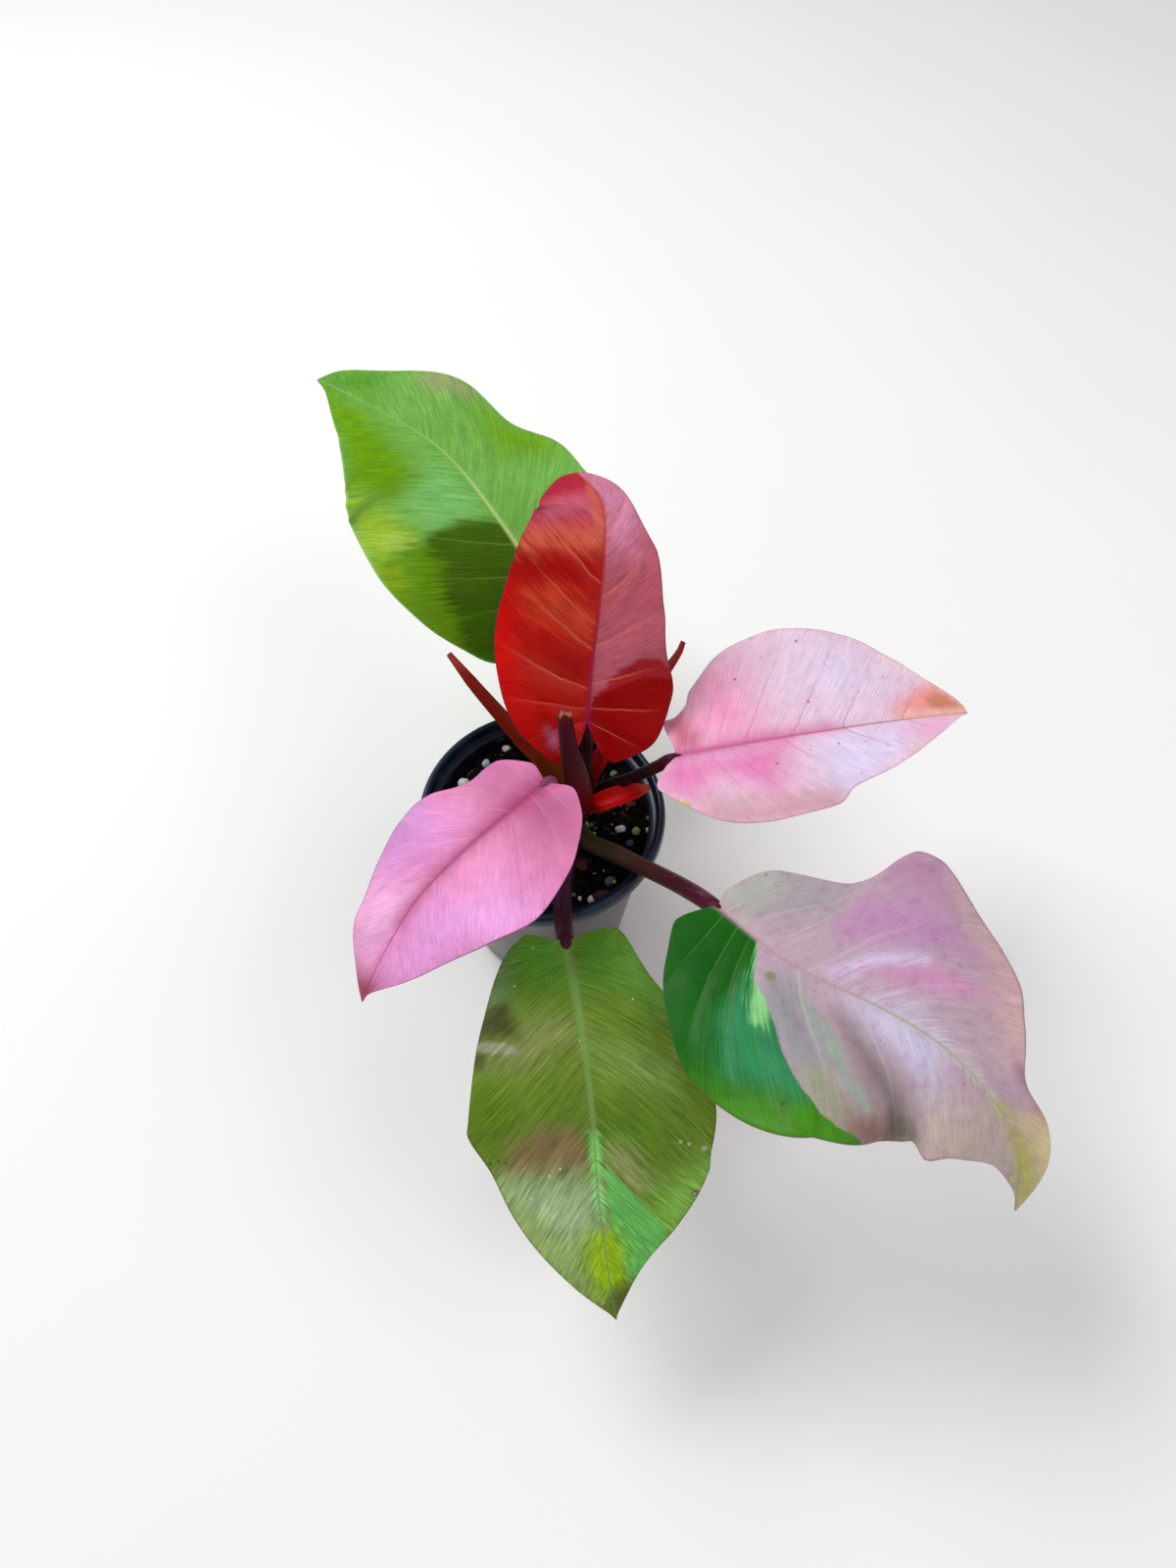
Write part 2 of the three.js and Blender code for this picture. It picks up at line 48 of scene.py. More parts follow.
def trace(points, steps):
    """Catmull-Rom line through points, as many short steps with the length so far."""
    p = np.array(points, float)
    p = np.vstack([2 * p[0] - p[1], p, 2 * p[-1] - p[-2]])
    k = len(points) - 1
    t = np.linspace(0, k, steps + 1)
    i = np.minimum(t.astype(int), k - 1)
    f = (t - i)[:, None]
    line = between(p[i], p[i + 1], p[i + 2], p[i + 3], f)
    gone = np.r_[0, np.cumsum(np.linalg.norm(np.diff(line, axis=0), axis=1))]
    return line, gone


def at_length(line, gone, x):
    x = np.clip(x, 0, gone[-1])
    return np.stack([np.interp(x, gone, line[:, k]) for k in range(line.shape[1])], -1)


def unit(v):
    return v / np.maximum(np.linalg.norm(v, axis=-1, keepdims=True), 1e-12)


def along(values, u):
    return np.interp(u, np.linspace(0, 1, len(values)), values)


def mesh_object(name, verts, faces, attributes=None, smooth=True):
    """verts in mm; attributes are per-vertex floats or vectors"""
    mesh = bpy.data.meshes.new(name)
    mesh.from_pydata([tuple(v) for v in (np.asarray(verts) * MM)], [], [tuple(f) for f in faces])
    for key, values in (attributes or {}).items():
        values = np.asarray(values, np.float32)
        kind = "FLOAT_VECTOR" if values.ndim == 2 else "FLOAT"
        layer = mesh.attributes.new(key, kind, "POINT")
        layer.data.foreach_set("vector" if values.ndim == 2 else "value", values.ravel())
    mesh.polygons.foreach_set("use_smooth", [smooth] * len(mesh.polygons))
    mesh.update()
    made = bpy.data.objects.new(name, mesh)
    bpy.context.scene.collection.objects.link(made)
    return made


def weld(piece):
    bm = bmesh.new()
    bm.from_mesh(piece.data)
    bmesh.ops.remove_doubles(bm, verts=bm.verts, dist=1e-6)
    bmesh.ops.recalc_face_normals(bm, faces=bm.faces)
    bm.to_mesh(piece.data)
    bm.free()


def ball(detail):
    """points and faces of a ball of radius 1"""
    bm = bmesh.new()
    bmesh.ops.create_icosphere(bm, subdivisions=detail, radius=1)
    points = np.array([p.co[:] for p in bm.verts])
    faces = [[q.index for q in face.verts] for face in bm.faces]
    bm.free()
    return points, faces


def tipped(points, angle):
    c, s = math.cos(angle), math.sin(angle)
    return points @ np.array([[c, 0, s], [0, 1, 0], [-s, 0, c]])


def swung(points, angle):
    c, s = math.cos(angle), math.sin(angle)
    return points @ np.array([[c, s, 0], [-s, c, 0], [0, 0, 1]])


def place(piece, slot, *nodes):
    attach(piece, "root")
    if nodes:
        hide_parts(*nodes)
    return piece


HASH = (374761393, 668265263, 2147483647, 1274126177)


def noise3(p, scale, seed=0):
    """smooth value noise of points, about -1 to 1"""
    q = np.asarray(p, float) / scale + seed * 17.3
    i = np.floor(q).astype(np.int64)
    f = q - i
    f = f * f * (3 - 2 * f)
    total = 0.0
    for dx in (0, 1):
        for dy in (0, 1):
            for dz in (0, 1):
                n = (i[..., 0] + dx) * HASH[0] + (i[..., 1] + dy) * HASH[1] + (i[..., 2] + dz) * HASH[2]
                n = (n ^ (n >> 13)) * HASH[3]
                r = ((n ^ (n >> 16)) & 0xFFFF) / 32767.5 - 1
                w = (np.where(dx, f[..., 0], 1 - f[..., 0]) * np.where(dy, f[..., 1], 1 - f[..., 1])
                     * np.where(dz, f[..., 2], 1 - f[..., 2]))
                total = total + r * w
    return total


def smooth_step(a, b, x):
    t = np.clip((x - a) / (b - a), 0, 1)
    return t * t * (3 - 2 * t)


# Node materials
def lin(r, g, b):
    """colour of 0 to 255 as a screen shows it, as the shader wants it"""
    c = np.array([r, g, b], float) / 255
    c = np.where(c <= 0.04045, c / 12.92, ((c + 0.055) / 1.055) ** 2.4)
    return (*c.tolist(), 1.0)


def dress(piece, material, slot, *nodes):
    piece.data.materials.append(material)
    return place(piece, slot, *nodes)


class Paint:
    """short names for building a node material"""

    def __init__(self, name, **values):
        self.mat = bpy.data.materials.new(name)
        self.mat.use_nodes = True
        self.tree = self.mat.node_tree
        self.shader = self.tree.nodes["Principled BSDF"]
        for key, value in values.items():
            self.shader.inputs[key.replace("_", " ")].default_value = value

    def node(self, kind, **settings):
        made = self.tree.nodes.new("ShaderNode" + kind)
        for key, value in settings.items():
            setattr(made, key, value)
        return made

    def put(self, socket, value):
        if hasattr(value, "is_output"):
            self.tree.links.new(value, socket)
        else:
            socket.default_value = value

    def attr(self, name):
        return self.node("Attribute", attribute_name=name).outputs

    def split(self, vector):
        made = self.node("SeparateXYZ")
        self.put(made.inputs[0], vector)
        return made.outputs

    def vec(self, x, y, z=0.0):
        made = self.node("CombineXYZ")
        for i, v in enumerate((x, y, z)):
            self.put(made.inputs[i], v)
        return made.outputs[0]

    def m(self, op, a, b=0.0, c=0.0, clamp=False):
        made = self.node("Math", operation=op, use_clamp=clamp)
        self.put(made.inputs[0], a)
        self.put(made.inputs[1], b)
        self.put(made.inputs[2], c)
        return made.outputs[0]

    def mix(self, factor, a, b, blend="MIX"):
        made = self.node("Mix", data_type="RGBA", blend_type=blend)
        self.put(made.inputs[0], factor)
        self.put(made.inputs[6], a)
        self.put(made.inputs[7], b)
        return made.outputs[2]

    def noise(self, vector, scale, detail=2.0, rough=0.5):
        made = self.node("TexNoise")
        self.put(made.inputs["Vector"], vector)
        made.inputs["Scale"].default_value = scale
        made.inputs["Detail"].default_value = detail
        made.inputs["Roughness"].default_value = rough
        return made.outputs["Fac"]

    def span(self, value, low, high, to_low=0.0, to_high=1.0):
        made = self.node("MapRange", interpolation_type="SMOOTHSTEP")
        for i, v in enumerate((value, low, high, to_low, to_high)):
            self.put(made.inputs[i], v)
        return made.outputs[0]

    def place(self):
        return self.node("TexCoord").outputs["Object"]

    def bump(self, height, strength, distance):
        made = self.node("Bump")
        self.put(made.inputs["Height"], height)
        made.inputs["Strength"].default_value = strength
        made.inputs["Distance"].default_value = distance
        self.put(self.shader.inputs["Normal"], made.outputs[0])

    def colour(self, value):
        self.put(self.shader.inputs["Base Color"], value)

    def rough(self, value):
        self.put(self.shader.inputs["Roughness"], value)


# Leaves, in mm. The midrib is a line in space. left and right are the outlines of the halves, as the
# way along the midrib and the way out from it. fold is the rise of each half from the midrib in
# degrees, at base and tip, and curl bends it down again. A wave is its height, its count along the
# leaf, its phase and the distance from the midrib where it has its full height. veins are shares of
# the way along each outline, quilt is the swelling between them and crinkle the loose unevenness.
LEAVES = {
    "back": dict(
        midrib=[[8, 79, 134], [-15, 112, 151], [-41, 145, 164], [-61, 160, 171], [-84, 172, 176],
                [-107, 186, 178]],
        left=[[-9, 11], [-13, 26], [-6, 40], [4, 48], [23, 59], [49, 65], [86, 60], [101, 59],
              [109, 56], [113, 50.6], [121.4, 45], [127.6, 38.3], [133.2, 31], [139.2, 23.1], [157, 6]],
        right=[[-8, 10], [-5, 26], [7, 41], [28, 48], [52, 46], [74, 47], [90, 36], [107, 37], [122, 33],
               [145, 22], [161, 11]],
        fold=[[9, 4]] * 2, curl=0.002, waves=[[3, 1.5, -0.12, 58], [4, 2.5, -0.5, 45]],
        veins=[[0.16, 0.28, 0.4, 0.52, 0.64, 0.76, 0.88]] * 2,
        quilt=0.28, crinkle=0.3,
        stalk=[[13, 1, 94], [12, 26, 106], [9, 56, 121]], radius=[4.4, 3.6]),
    "red": dict(
        midrib=[[20, 11, 143], [22, 27, 163], [25, 42, 183], [27, 57, 199], [26, 75, 207], [16, 92, 207]],
        left=[[-9, 3], [-15, 7], [-15, 14], [-6, 25], [1, 31], [16, 37], [39, 41], [67, 36], [74, 34],
              [79.4, 31.4], [86, 29.2], [101.6, 25], [108, 17], [112, 8]],
        right=[[-5, 3], [-12, 11], [-11, 17], [-1, 30], [16, 35], [26, 35], [39, 31], [55, 27], [71, 22],
               [86, 13], [109, 3]],
        fold=[[26, 16]] * 2, curl=0.008, waves=[[1.5, 1.5, 0.1, 38], [2, 2, 0.3, 34]],
        veins=[[0.17, 0.3, 0.42, 0.577, 0.65, 0.75, 0.87],
               [0.18, 0.31, 0.445, 0.587, 0.72, 0.85]],
        quilt=0.42, crinkle=0.25,
        stalk=[[18, -1, 104], [19, 3, 112], [20, 9, 127]], radius=[3.6, 2.4]),
    "pink": dict(
        midrib=[[56, -8, 150], [79, -5, 153], [108, 2, 151], [145, 13, 144], [184, 27, 131]],
        left=[[0, 3], [-3, 15], [2, 17], [7, 22], [11, 30], [28, 44], [52, 50], [75, 48], [100, 43],
              [112, 34], [122, 22], [134, 7]],
        right=[[-1, 2], [-5, 5], [-10, 14], [-7, 20], [4, 30], [19, 38], [35, 41], [53, 37], [64, 29],
               [85, 23], [109, 12], [130, 2]],
        fold=[[10, 6], [12, 4]], curl=0.003, waves=[[4, 1.2, -0.35, 50], [3, 2.6, 0.5, 42]],
        veins=[[0.2, 0.32, 0.387, 0.497, 0.634, 0.747, 0.87],
               [0.16, 0.26, 0.356, 0.43, 0.59, 0.75, 0.88]],
        quilt=0.3, crinkle=0.45,
        stalk=[[16, 0, 98], [23, 4, 103], [32, 2, 113], [40, -2, 125], [49, -6, 139]], radius=[3.2, 2.6]),
    "lilac": dict(
        midrib=[[4, -24, 155], [-11, -41, 158], [-28, -56, 154], [-44, -70, 145], [-56, -85, 133],
                [-66, -100, 118]],
        left=[[0, 2], [-4, 7], [-4, 12], [3, 21], [14, 29], [24, 35], [41, 40], [57, 36], [74, 29],
              [96, 15], [110, 2]],
        right=[[0, 3], [-2, 6], [-2, 11], [6, 19], [21, 20], [28, 23], [38, 28], [51, 26], [66, 24],
               [80, 18], [91, 15], [108, 5]],
        fold=[[8, 8]] * 2, curl=0.006, waves=[[2.5, 1.8, 0.3, 40], [3, 2.9, -0.055, 26]],
        veins=[[0.18, 0.32, 0.46, 0.6, 0.74, 0.87]] * 2,
        quilt=0.15, crinkle=0.35,
        stalk=[[13, -6, 98], [11, -11, 106], [7, -15, 130]], radius=[3.6, 2.6]),
    "front": dict(
        midrib=[[12, -79, 128], [18, -115, 125], [22, -142, 117], [24, -167, 104], [28, -191, 82],
                [31, -204, 65]],
        left=[[1, 4], [-2, 10], [-2, 19], [3, 23], [19, 29], [37, 40], [52, 45], [68, 45], [82, 42],
              [91, 41], [102, 36], [112, 27], [125, 13], [143, 2]],
        right=[[-1, 4], [-3, 10], [-4, 16], [4, 25], [20, 33], [40, 40], [63, 45], [72, 45], [86, 37],
               [105, 28], [124, 16], [141, 4]],
        fold=[[5, 5]] * 2, curl=0.005, waves=[[2.5, 2.3, 0.2, 45], [2.5, 2, 0.45, 45]],
        veins=[[0.15, 0.26, 0.37, 0.48, 0.59, 0.7, 0.8, 0.9]] * 2,
        quilt=0.25, crinkle=0.35,
        stalk=[[12, -7, 91], [12, -20, 95], [10, -39, 100], [10, -57, 108]], radius=[4.2, 3.8]),
    "broad": dict(
        midrib=[[69, -72, 144], [93, -98, 150], [121, -114, 151], [143, -127, 147], [161, -143, 137],
                [172, -157, 121], [174, -173, 102]],
        left=[[-1, 3], [-2, 9], [3, 23], [12, 31], [31, 44], [49, 50], [59, 61], [64, 64], [77, 59],
              [89, 53], [106, 43], [114, 30], [126, 15], [141, 14], [151, 11], [164, 4]],
        right=[[-1, 1], [-6, 12], [-5, 19], [8, 35], [24, 48], [34, 55], [52, 58], [75, 51], [102, 37],
               [108, 33], [117, 34], [124, 26], [136, 17], [150, 8], [162, 1]],
        fold=[[4, 2], [2, 0]], curl=0.0035, waves=[[9, 2.35, 0.263, 62], [4, 2.6, 0.25, 58]],
        veins=[[0.18, 0.3, 0.42, 0.54, 0.66, 0.78, 0.89],
               [0.2, 0.31, 0.37, 0.42, 0.52, 0.64, 0.76, 0.88]],
        quilt=0.35, crinkle=0.5,
        stalk=[[14, -6, 92], [21, -16, 94], [32, -24, 98], [46, -38, 109], [56, -50, 120], [63, -61, 131]],
        radius=[4.1, 3.6]),
}
# how strongly the veins gather at the base, and how they sweep forward
VEIN_START = 2.25
VEIN_SWEEP = 1.12
# thickness of the blade, and the ridge under and the groove over the midrib
BLADE = 0.7
RIB_DEPTH = 2.2
RIB_WIDTH = 2.4
GROOVE = 0.4
GROOVE_WIDTH = 1.1
FINE_RIBS = 90
FINE_RIB_HEIGHT = 0.03
CRINKLE_SIZE = 15
# how many of each line there are along a half of a leaf, and how often they change across it
STREAKS = (46.0, 2.1)
HAIRS = (230.0, 3.4)
# how many of each patch there are in a millimetre
CLOUDS = 0.045
MOTTLE = 0.2
MOTTLE_SHADES = ((1.14, 1.12, 1.12), (0.82, 0.83, 0.85), 0.5)
UNDERSIDE = 0.6
COLUMNS = 180
ROWS = 54


def rib_frame(leaf, x):
    line, gone = leaf["line"]
    total = gone[-1]
    d = np.clip(x, 0, total)
    ahead = unit(at_length(line, gone, d + 1) - at_length(line, gone, d - 1))
    point = at_length(line, gone, d) + (x - d)[..., None] * ahead
    side = unit(np.cross(np.array([0.0, 0, 1]), ahead))
    up = np.cross(ahead, side)
    return point, ahead, side, up, d / total


def on_leaf(leaf, x, y):
    point, ahead, side, up, u = rib_frame(leaf, x)
    right = y < 0
    sign = np.where(right, -1.0, 1.0)
    d = np.abs(y)
    fold = np.radians(np.where(right, along(leaf["fold"][1], u), along(leaf["fold"][0], u)))
    curl = leaf["curl"]
    out = (np.sin(fold) - np.sin(fold - curl * d)) / curl
    rise = (np.cos(fold - curl * d) - np.cos(fold)) / curl
    wave = [h * (d / reach) ** 2 * np.sin(2 * np.pi * (count * u + phase))
            for h, count, phase, reach in leaf["waves"]]
    rise = rise + np.where(right, wave[1], wave[0])
    return point + side * (sign * out)[..., None] + up * rise[..., None]


def leaf_normal(leaf, x, y):
    h = 0.8
    a = on_leaf(leaf, x + h, y) - on_leaf(leaf, x - h, y)
    b = on_leaf(leaf, x, y + h) - on_leaf(leaf, x, y - h)
    return unit(np.cross(a, b))


def area(x, y, corners):
    """mm inside a closed outline in the flat leaf, negative outside"""
    p = np.array(corners, float).reshape(-1, 2)
    q = np.roll(p, -1, 0)
    best = np.full(x.shape, 1e9)
    inside = np.zeros(x.shape, bool)
    for (ax, ay), (bx, by) in zip(p, q):
        ex, ey = bx - ax, by - ay
        k = np.clip(((x - ax) * ex + (y - ay) * ey) / (ex * ex + ey * ey + 1e-9), 0, 1)
        best = np.minimum(best, np.hypot(x - ax - k * ex, y - ay - k * ey))
        if by != ay:
            inside ^= ((ay > y) != (by > y)) & (x < ex * (y - ay) / ey + ax)
    return np.where(inside, best, -best)


def build_leaf(name, zones):
    """Fine blade of the same form as the solid, with the zones' distances kept on its points."""
    leaf = LEAVES[name]
    total = leaf["line"][1][-1]
    s = np.linspace(0, 1, COLUMNS + 1)
    t = np.linspace(0, 1, ROWS + 1) ** 1.1
    ss = np.repeat(s[:, None], len(t), 1)
    tt = np.repeat(t[None], len(s), 0)
    verts, faces, kept = [], [], {}
    count = len(s) * len(t)
    index = np.arange(count).reshape(len(s), len(t))
    for half, sign in ((0, 1), (1, -1)):
        flat = np.array(leaf["left" if half == 0 else "right"] + [[total, 0]], float)
        line, gone = trace(flat, 900)
        edge = at_length(line, gone, s * gone[-1])
        root = total * s**VEIN_START
        x = root[:, None] + (edge[:, 0] - root)[:, None] * t[None] ** VEIN_SWEEP
        d = np.maximum(edge[:, 1], 0)[:, None] * t[None]
        y = d * sign
        veins = leaf["veins"][half]
        phase = np.interp(ss, np.r_[0, veins, 1], np.arange(len(veins) + 2))
        rib = np.exp(-((d / RIB_WIDTH) ** 2)) * (1 - ss) ** 0.7
        flat3 = np.stack([x, y, np.zeros_like(x)], -1)
        wave = np.cos(2 * np.pi * phase)
        away = smooth_step(0, 0.2, tt) * (1 - 0.6 * tt)
        lift = -GROOVE * np.exp(-((d / GROOVE_WIDTH) ** 2)) * (1 - ss) ** 0.5
        lift = lift + leaf["quilt"] * away * (0.5 - 0.5 * wave - 0.8 * np.maximum(wave, 0) ** 14)
        lift = lift + leaf["crinkle"] * smooth_step(0.05, 0.4, tt) * noise3(flat3, CRINKLE_SIZE, 3)
        fine = np.sin(2 * np.pi * FINE_RIBS * ss) * smooth_step(0.02, 0.1, tt) * (1 - tt)
        lift = lift + FINE_RIB_HEIGHT * fine
        thin = 1 - 0.6 * smooth_step(0.94, 1.0, tt)
        p = on_leaf(leaf, x, y)
        n = leaf_normal(leaf, x, y)
        top = p + n * lift[..., None]
        bottom = p + n * (lift - BLADE * thin - RIB_DEPTH * rib)[..., None]
        for under, q in ((0, top), (1, bottom)):
            base = len(verts) * count
            a, b, c, e = index[:-1, :-1], index[1:, :-1], index[1:, 1:], index[:-1, 1:]
            order = (a, b, c, e) if (sign == 1) != (under == 1) else (a, e, c, b)
            faces.append(np.stack([o.ravel() for o in order], 1) + base)
            verts.append(q.reshape(-1, 3))
            marks = {"leaf_s": ss, "leaf_t": tt * sign, "leaf_x": x, "leaf_y": y, "vein": phase,
                     "under": np.full_like(ss, under)}
            for key, points in zones.items():
                marks[key] = area(x, y, points)
            for key, value in marks.items():
                kept.setdefault(key, []).append(value.ravel())
        base = (len(verts) - 2) * count
        for k, ids in enumerate((index[:, -1], index[0, :])):
            a, b = ids[:-1] + base, ids[1:] + base
            walls = np.stack([a, b, b + count, a + count], 1)
            faces.append(walls[:, ::-1] if (sign == 1) != (k == 0) else walls)
    piece = mesh_object("leaf_" + name, np.vstack(verts), np.vstack(faces).tolist(),
                        {k: np.concatenate(v) for k, v in kept.items()})
    weld(piece)
    return place(piece, "leaf_" + name, "blade_" + name)


for leaf in LEAVES.values():
    leaf["line"] = trace(leaf["midrib"], 200 * (len(leaf["midrib"]) - 1))


def paint_leaf(name, look):
    """Colour zones feathered along the veins, fine lines, veins, midrib and rim."""
    g = Paint("leaf_" + name, Coat_Weight=look.get("coat", 0.0), Coat_Roughness=0.25,
              Specular_IOR_Level=look["shine"])
    s, ts = g.attr("leaf_s")["Fac"], g.attr("leaf_t")["Fac"]
    x, y = g.attr("leaf_x")["Fac"], g.attr("leaf_y")["Fac"]
    t, d = g.m("ABSOLUTE", ts), g.m("ABSOLUTE", y)
    streak_at = g.vec(g.m("MULTIPLY", s, STREAKS[0]), g.m("MULTIPLY", ts, STREAKS[1]), 0.0)
    streak = g.noise(streak_at, 1.0, 5.0, 0.62)
    hair_at = g.vec(g.m("MULTIPLY", s, HAIRS[0]), g.m("MULTIPLY", ts, HAIRS[1]), 3.0)
    hair = g.noise(hair_at, 1.0, 3.0, 0.6)
    mottle = g.noise(g.vec(x, y, 4.0), MOTTLE, 5.0, 0.66)
    cloud = g.noise(g.vec(x, y, 1.0), CLOUDS, 4.0, 0.6)
    both = g.m("ADD", g.m("MULTIPLY", streak, 1.2), g.m("MULTIPLY", hair, 0.8))
    loose = g.m("SUBTRACT", g.m("ADD", both, g.m("MULTIPLY", cloud, 0.7)), 1.35)

    def layer(colour, key, tint, soft, feather, strength, side=""):
        here = g.m("MULTIPLY_ADD", loose, feather * 1.6, g.attr(key)["Fac"])
        factor = g.span(here, -soft, soft, 0.0, strength)
        if side:
            ends = (0.0, 1.0) if side == "L" else (1.0, 0.0)
            factor = g.m("MULTIPLY", factor, g.span(y, -0.4, 0.4, *ends))
        return g.mix(factor, colour, lin(*tint))

    def shade(colour, factor, tint, amount):
        return g.mix(g.m("MULTIPLY", factor, amount, clamp=True), colour,
                     g.mix(1.0, colour, (*tint, 1), "MULTIPLY"))

    def dressed(base, zones, veins):
        colour = lin(*base)
        for key, spec in zones.items():
            colour = layer(colour, key, *spec[:-1])
        colour = shade(colour, g.span(streak, 0.5, 0.78), (1.32, 1.3, 1.25), look["streaks"])
        colour = shade(colour, g.span(streak, 0.5, 0.25), (0.7, 0.72, 0.74), look["streaks"])
        colour = shade(colour, g.span(hair, 0.5, 0.66), (1.5, 1.46, 1.42), look["hair"])
        colour = shade(colour, g.span(hair, 0.5, 0.34), (0.6, 0.63, 0.66), look["hair"])
        high, low, amount = look.get("mottle", MOTTLE_SHADES)
        colour = shade(colour, g.span(mottle, 0.5, 0.68), high, amount)
        colour = shade(colour, g.span(mottle, 0.5, 0.32), low, amount)
        tint, strength, sharp = veins
        factor = g.m("MULTIPLY", g.m("POWER", line, sharp), strength)
        return g.mix(g.m("MULTIPLY", factor, fade, clamp=True), colour, lin(*tint))

    wobble = g.m("MULTIPLY", g.m("SUBTRACT", g.noise(g.vec(x, y, 0.0), 0.11, 2.0), 0.5), 0.12)
    phase = g.m("MULTIPLY", g.m("ADD", g.attr("vein")["Fac"], wobble), 2 * math.pi)
    line = g.m("MAXIMUM", g.m("COSINE", phase), 0.0)
    fade = g.span(t, 1.0, look.get("vein_from", 0.1), 0.0, 1.0)
    colour = dressed(look["base"], look["zones"], look["veins"])
    if "part" in look:
        part = look["part"]
        second = dressed(part["base"], part["zones"], part["veins"])
        here = g.m("MULTIPLY_ADD", loose, 2.0, g.attr("part")["Fac"])
        colour = g.mix(g.span(here, -0.5, 0.5), colour, second)
    for points, radius, tint in look.get("dots", []):
        near = None
        spot = g.vec(x, y, 0.0)
        for px, py in zip(points[::2], points[1::2]):
            gap = g.node("VectorMath", operation="DISTANCE")
            g.put(gap.inputs[0], spot)
            gap.inputs[1].default_value = (px, py, 0)
            near = gap.outputs["Value"] if near is None else g.m("MINIMUM", near, gap.outputs["Value"])
        near = g.m("MULTIPLY_ADD", g.m("SUBTRACT", cloud, 0.5), radius, near)
        colour = g.mix(g.span(near, radius * 1.15, radius * 0.6, 0.0, 0.8), colour, lin(*tint))
    tint, strength, wide, tint_tip = look["rib"]
    width = g.m("MULTIPLY", g.m("SUBTRACT", 1.06, s), wide)
    middle = g.m("EXPONENT", g.m("MULTIPLY", g.m("POWER", g.m("DIVIDE", d, width), 2.0), -1.0))
    rib_colour = g.mix(g.span(s, 0.55, 0.95), lin(*tint), lin(*tint_tip))
    colour = g.mix(g.m("MULTIPLY", middle, strength, clamp=True), colour, rib_colour)
    # painted shade: grey darkening in the groove along the midrib and in fainter lines beside it, as strong
    # as the look's groove
    groove_shade = g.m("POWER", g.m("MAXIMUM", g.m("COSINE", g.m("MULTIPLY", d, 3.4)), 0.0), 2.0)
    colour = shade(colour, g.m("MULTIPLY", groove_shade, middle), (0.6, 0.6, 0.6), look.get("groove", 0.3))
    tint, strength, wide = look["edge"]
    colour = g.mix(g.span(t, 1 - wide, 1.0, 0.0, strength), colour, lin(*tint))
    under = g.m("MULTIPLY", g.attr("under")["Fac"], UNDERSIDE)
    colour = g.mix(under, colour, lin(*look["under"]))
    g.colour(colour)
    g.rough(g.m("MULTIPLY_ADD", streak, 0.16, look["rough"] - 0.08))
    g.bump(g.m("MULTIPLY_ADD", line, -0.6, g.m("MULTIPLY", hair, 0.5)), 0.3, 0.0004)
    return g.mat


# The camera, light and floor. The camera was fitted to the rim and the wall of the pot, with its
# lens as pixels over the height of the picture.
SENSOR = 36
LENS_PIXELS = 1190
PICTURE_HEIGHT = 1600
CAMERA_PLACE = (0.0204, -0.2688, 0.5380)
CAMERA_TILT = 32.5
cam_data = bpy.data.cameras.new("camera")
cam_data.sensor_width = SENSOR
cam_data.lens = SENSOR * LENS_PIXELS / PICTURE_HEIGHT
camera = bpy.data.objects.new("camera", cam_data)
bpy.context.scene.collection.objects.link(camera)
camera.location = CAMERA_PLACE
camera.rotation_euler = (math.radians(CAMERA_TILT), 0, 0)
bpy.context.scene.camera = camera

world = bpy.data.worlds.new("studio")
bpy.context.scene.world = world
world.use_nodes = True
world.node_tree.nodes["Background"].inputs[0].default_value = (1, 1, 1, 1)
world.node_tree.nodes["Background"].inputs[1].default_value = 0.42
bpy.context.scene.view_settings.view_transform = "Standard"


def softbox(name, place_at, aim, size, power):
    data = bpy.data.lights.new(name, "AREA")
    data.shape = "SQUARE"
    data.size = size
    data.energy = power
    lamp = bpy.data.objects.new(name, data)
    bpy.context.scene.collection.objects.link(lamp)
    lamp.location = place_at
    way = np.array(aim, float) - np.array(place_at, float)
    lamp.rotation_euler = Vector(way).to_track_quat("-Z", "Y").to_euler()


PLANT_MIDDLE = (0.02, 0, 0.12)
softbox("key", (-0.75, 0.55, 1.35), PLANT_MIDDLE, 0.8, 15.5)
softbox("fill", (0.9, -0.5, 1.1), PLANT_MIDDLE, 1.0, 5)
FAR = 3000
BELOW = -0.5
floor = mesh_object("floor", [[-FAR, -FAR, BELOW], [FAR, -FAR, BELOW], [FAR, FAR, BELOW],
                              [-FAR, FAR, BELOW]], [[0, 1, 2, 3]])
g = Paint("floor_paint", Roughness=0.9, Specular_IOR_Level=0.2)
g.colour(g.mix(g.noise(g.place(), 6.0), (0.95, 0.95, 0.95, 1), (0.98, 0.98, 0.98, 1)))
floor.data.materials.append(g.mat)


# Pot
POT_HEIGHT = 95
FOOT_RADIUS = 38
TOP_RADIUS = 49.3
LIP_RADIUS = 55
LIP_HEIGHT = 6.4
WALL = 1.4
FLOOR = 1.8
SOIL_LEVEL = 84
DRAIN_HOLES = 8
DRAIN_RADIUS = 3.4
DRAIN_RING = 36.4
DRAIN_REACH = 6
DRAIN_SIDES = 40


def outer_at(z):
    """outer radius of the tapering wall at a height"""
    return FOOT_RADIUS + (TOP_RADIUS - FOOT_RADIUS) * z / (POT_HEIGHT - LIP_HEIGHT)


def turned(name, profile, sides):
    p = np.array(profile, float)
    a = 2 * np.pi * np.arange(sides) / sides
    ring = np.stack([p[:, 0, None] * np.cos(a), p[:, 0, None] * np.sin(a),
                     np.repeat(p[:, 1, None], sides, 1)], -1)
    faces = []
    for i in range(len(p) - 1):
        for k in range(sides):
            n = (k + 1) % sides
            faces.append([i * sides + k, i * sides + n, (i + 1) * sides + n, (i + 1) * sides + k])
    made = mesh_object(name, ring.reshape(-1, 3), faces)
    weld(made)
    return made


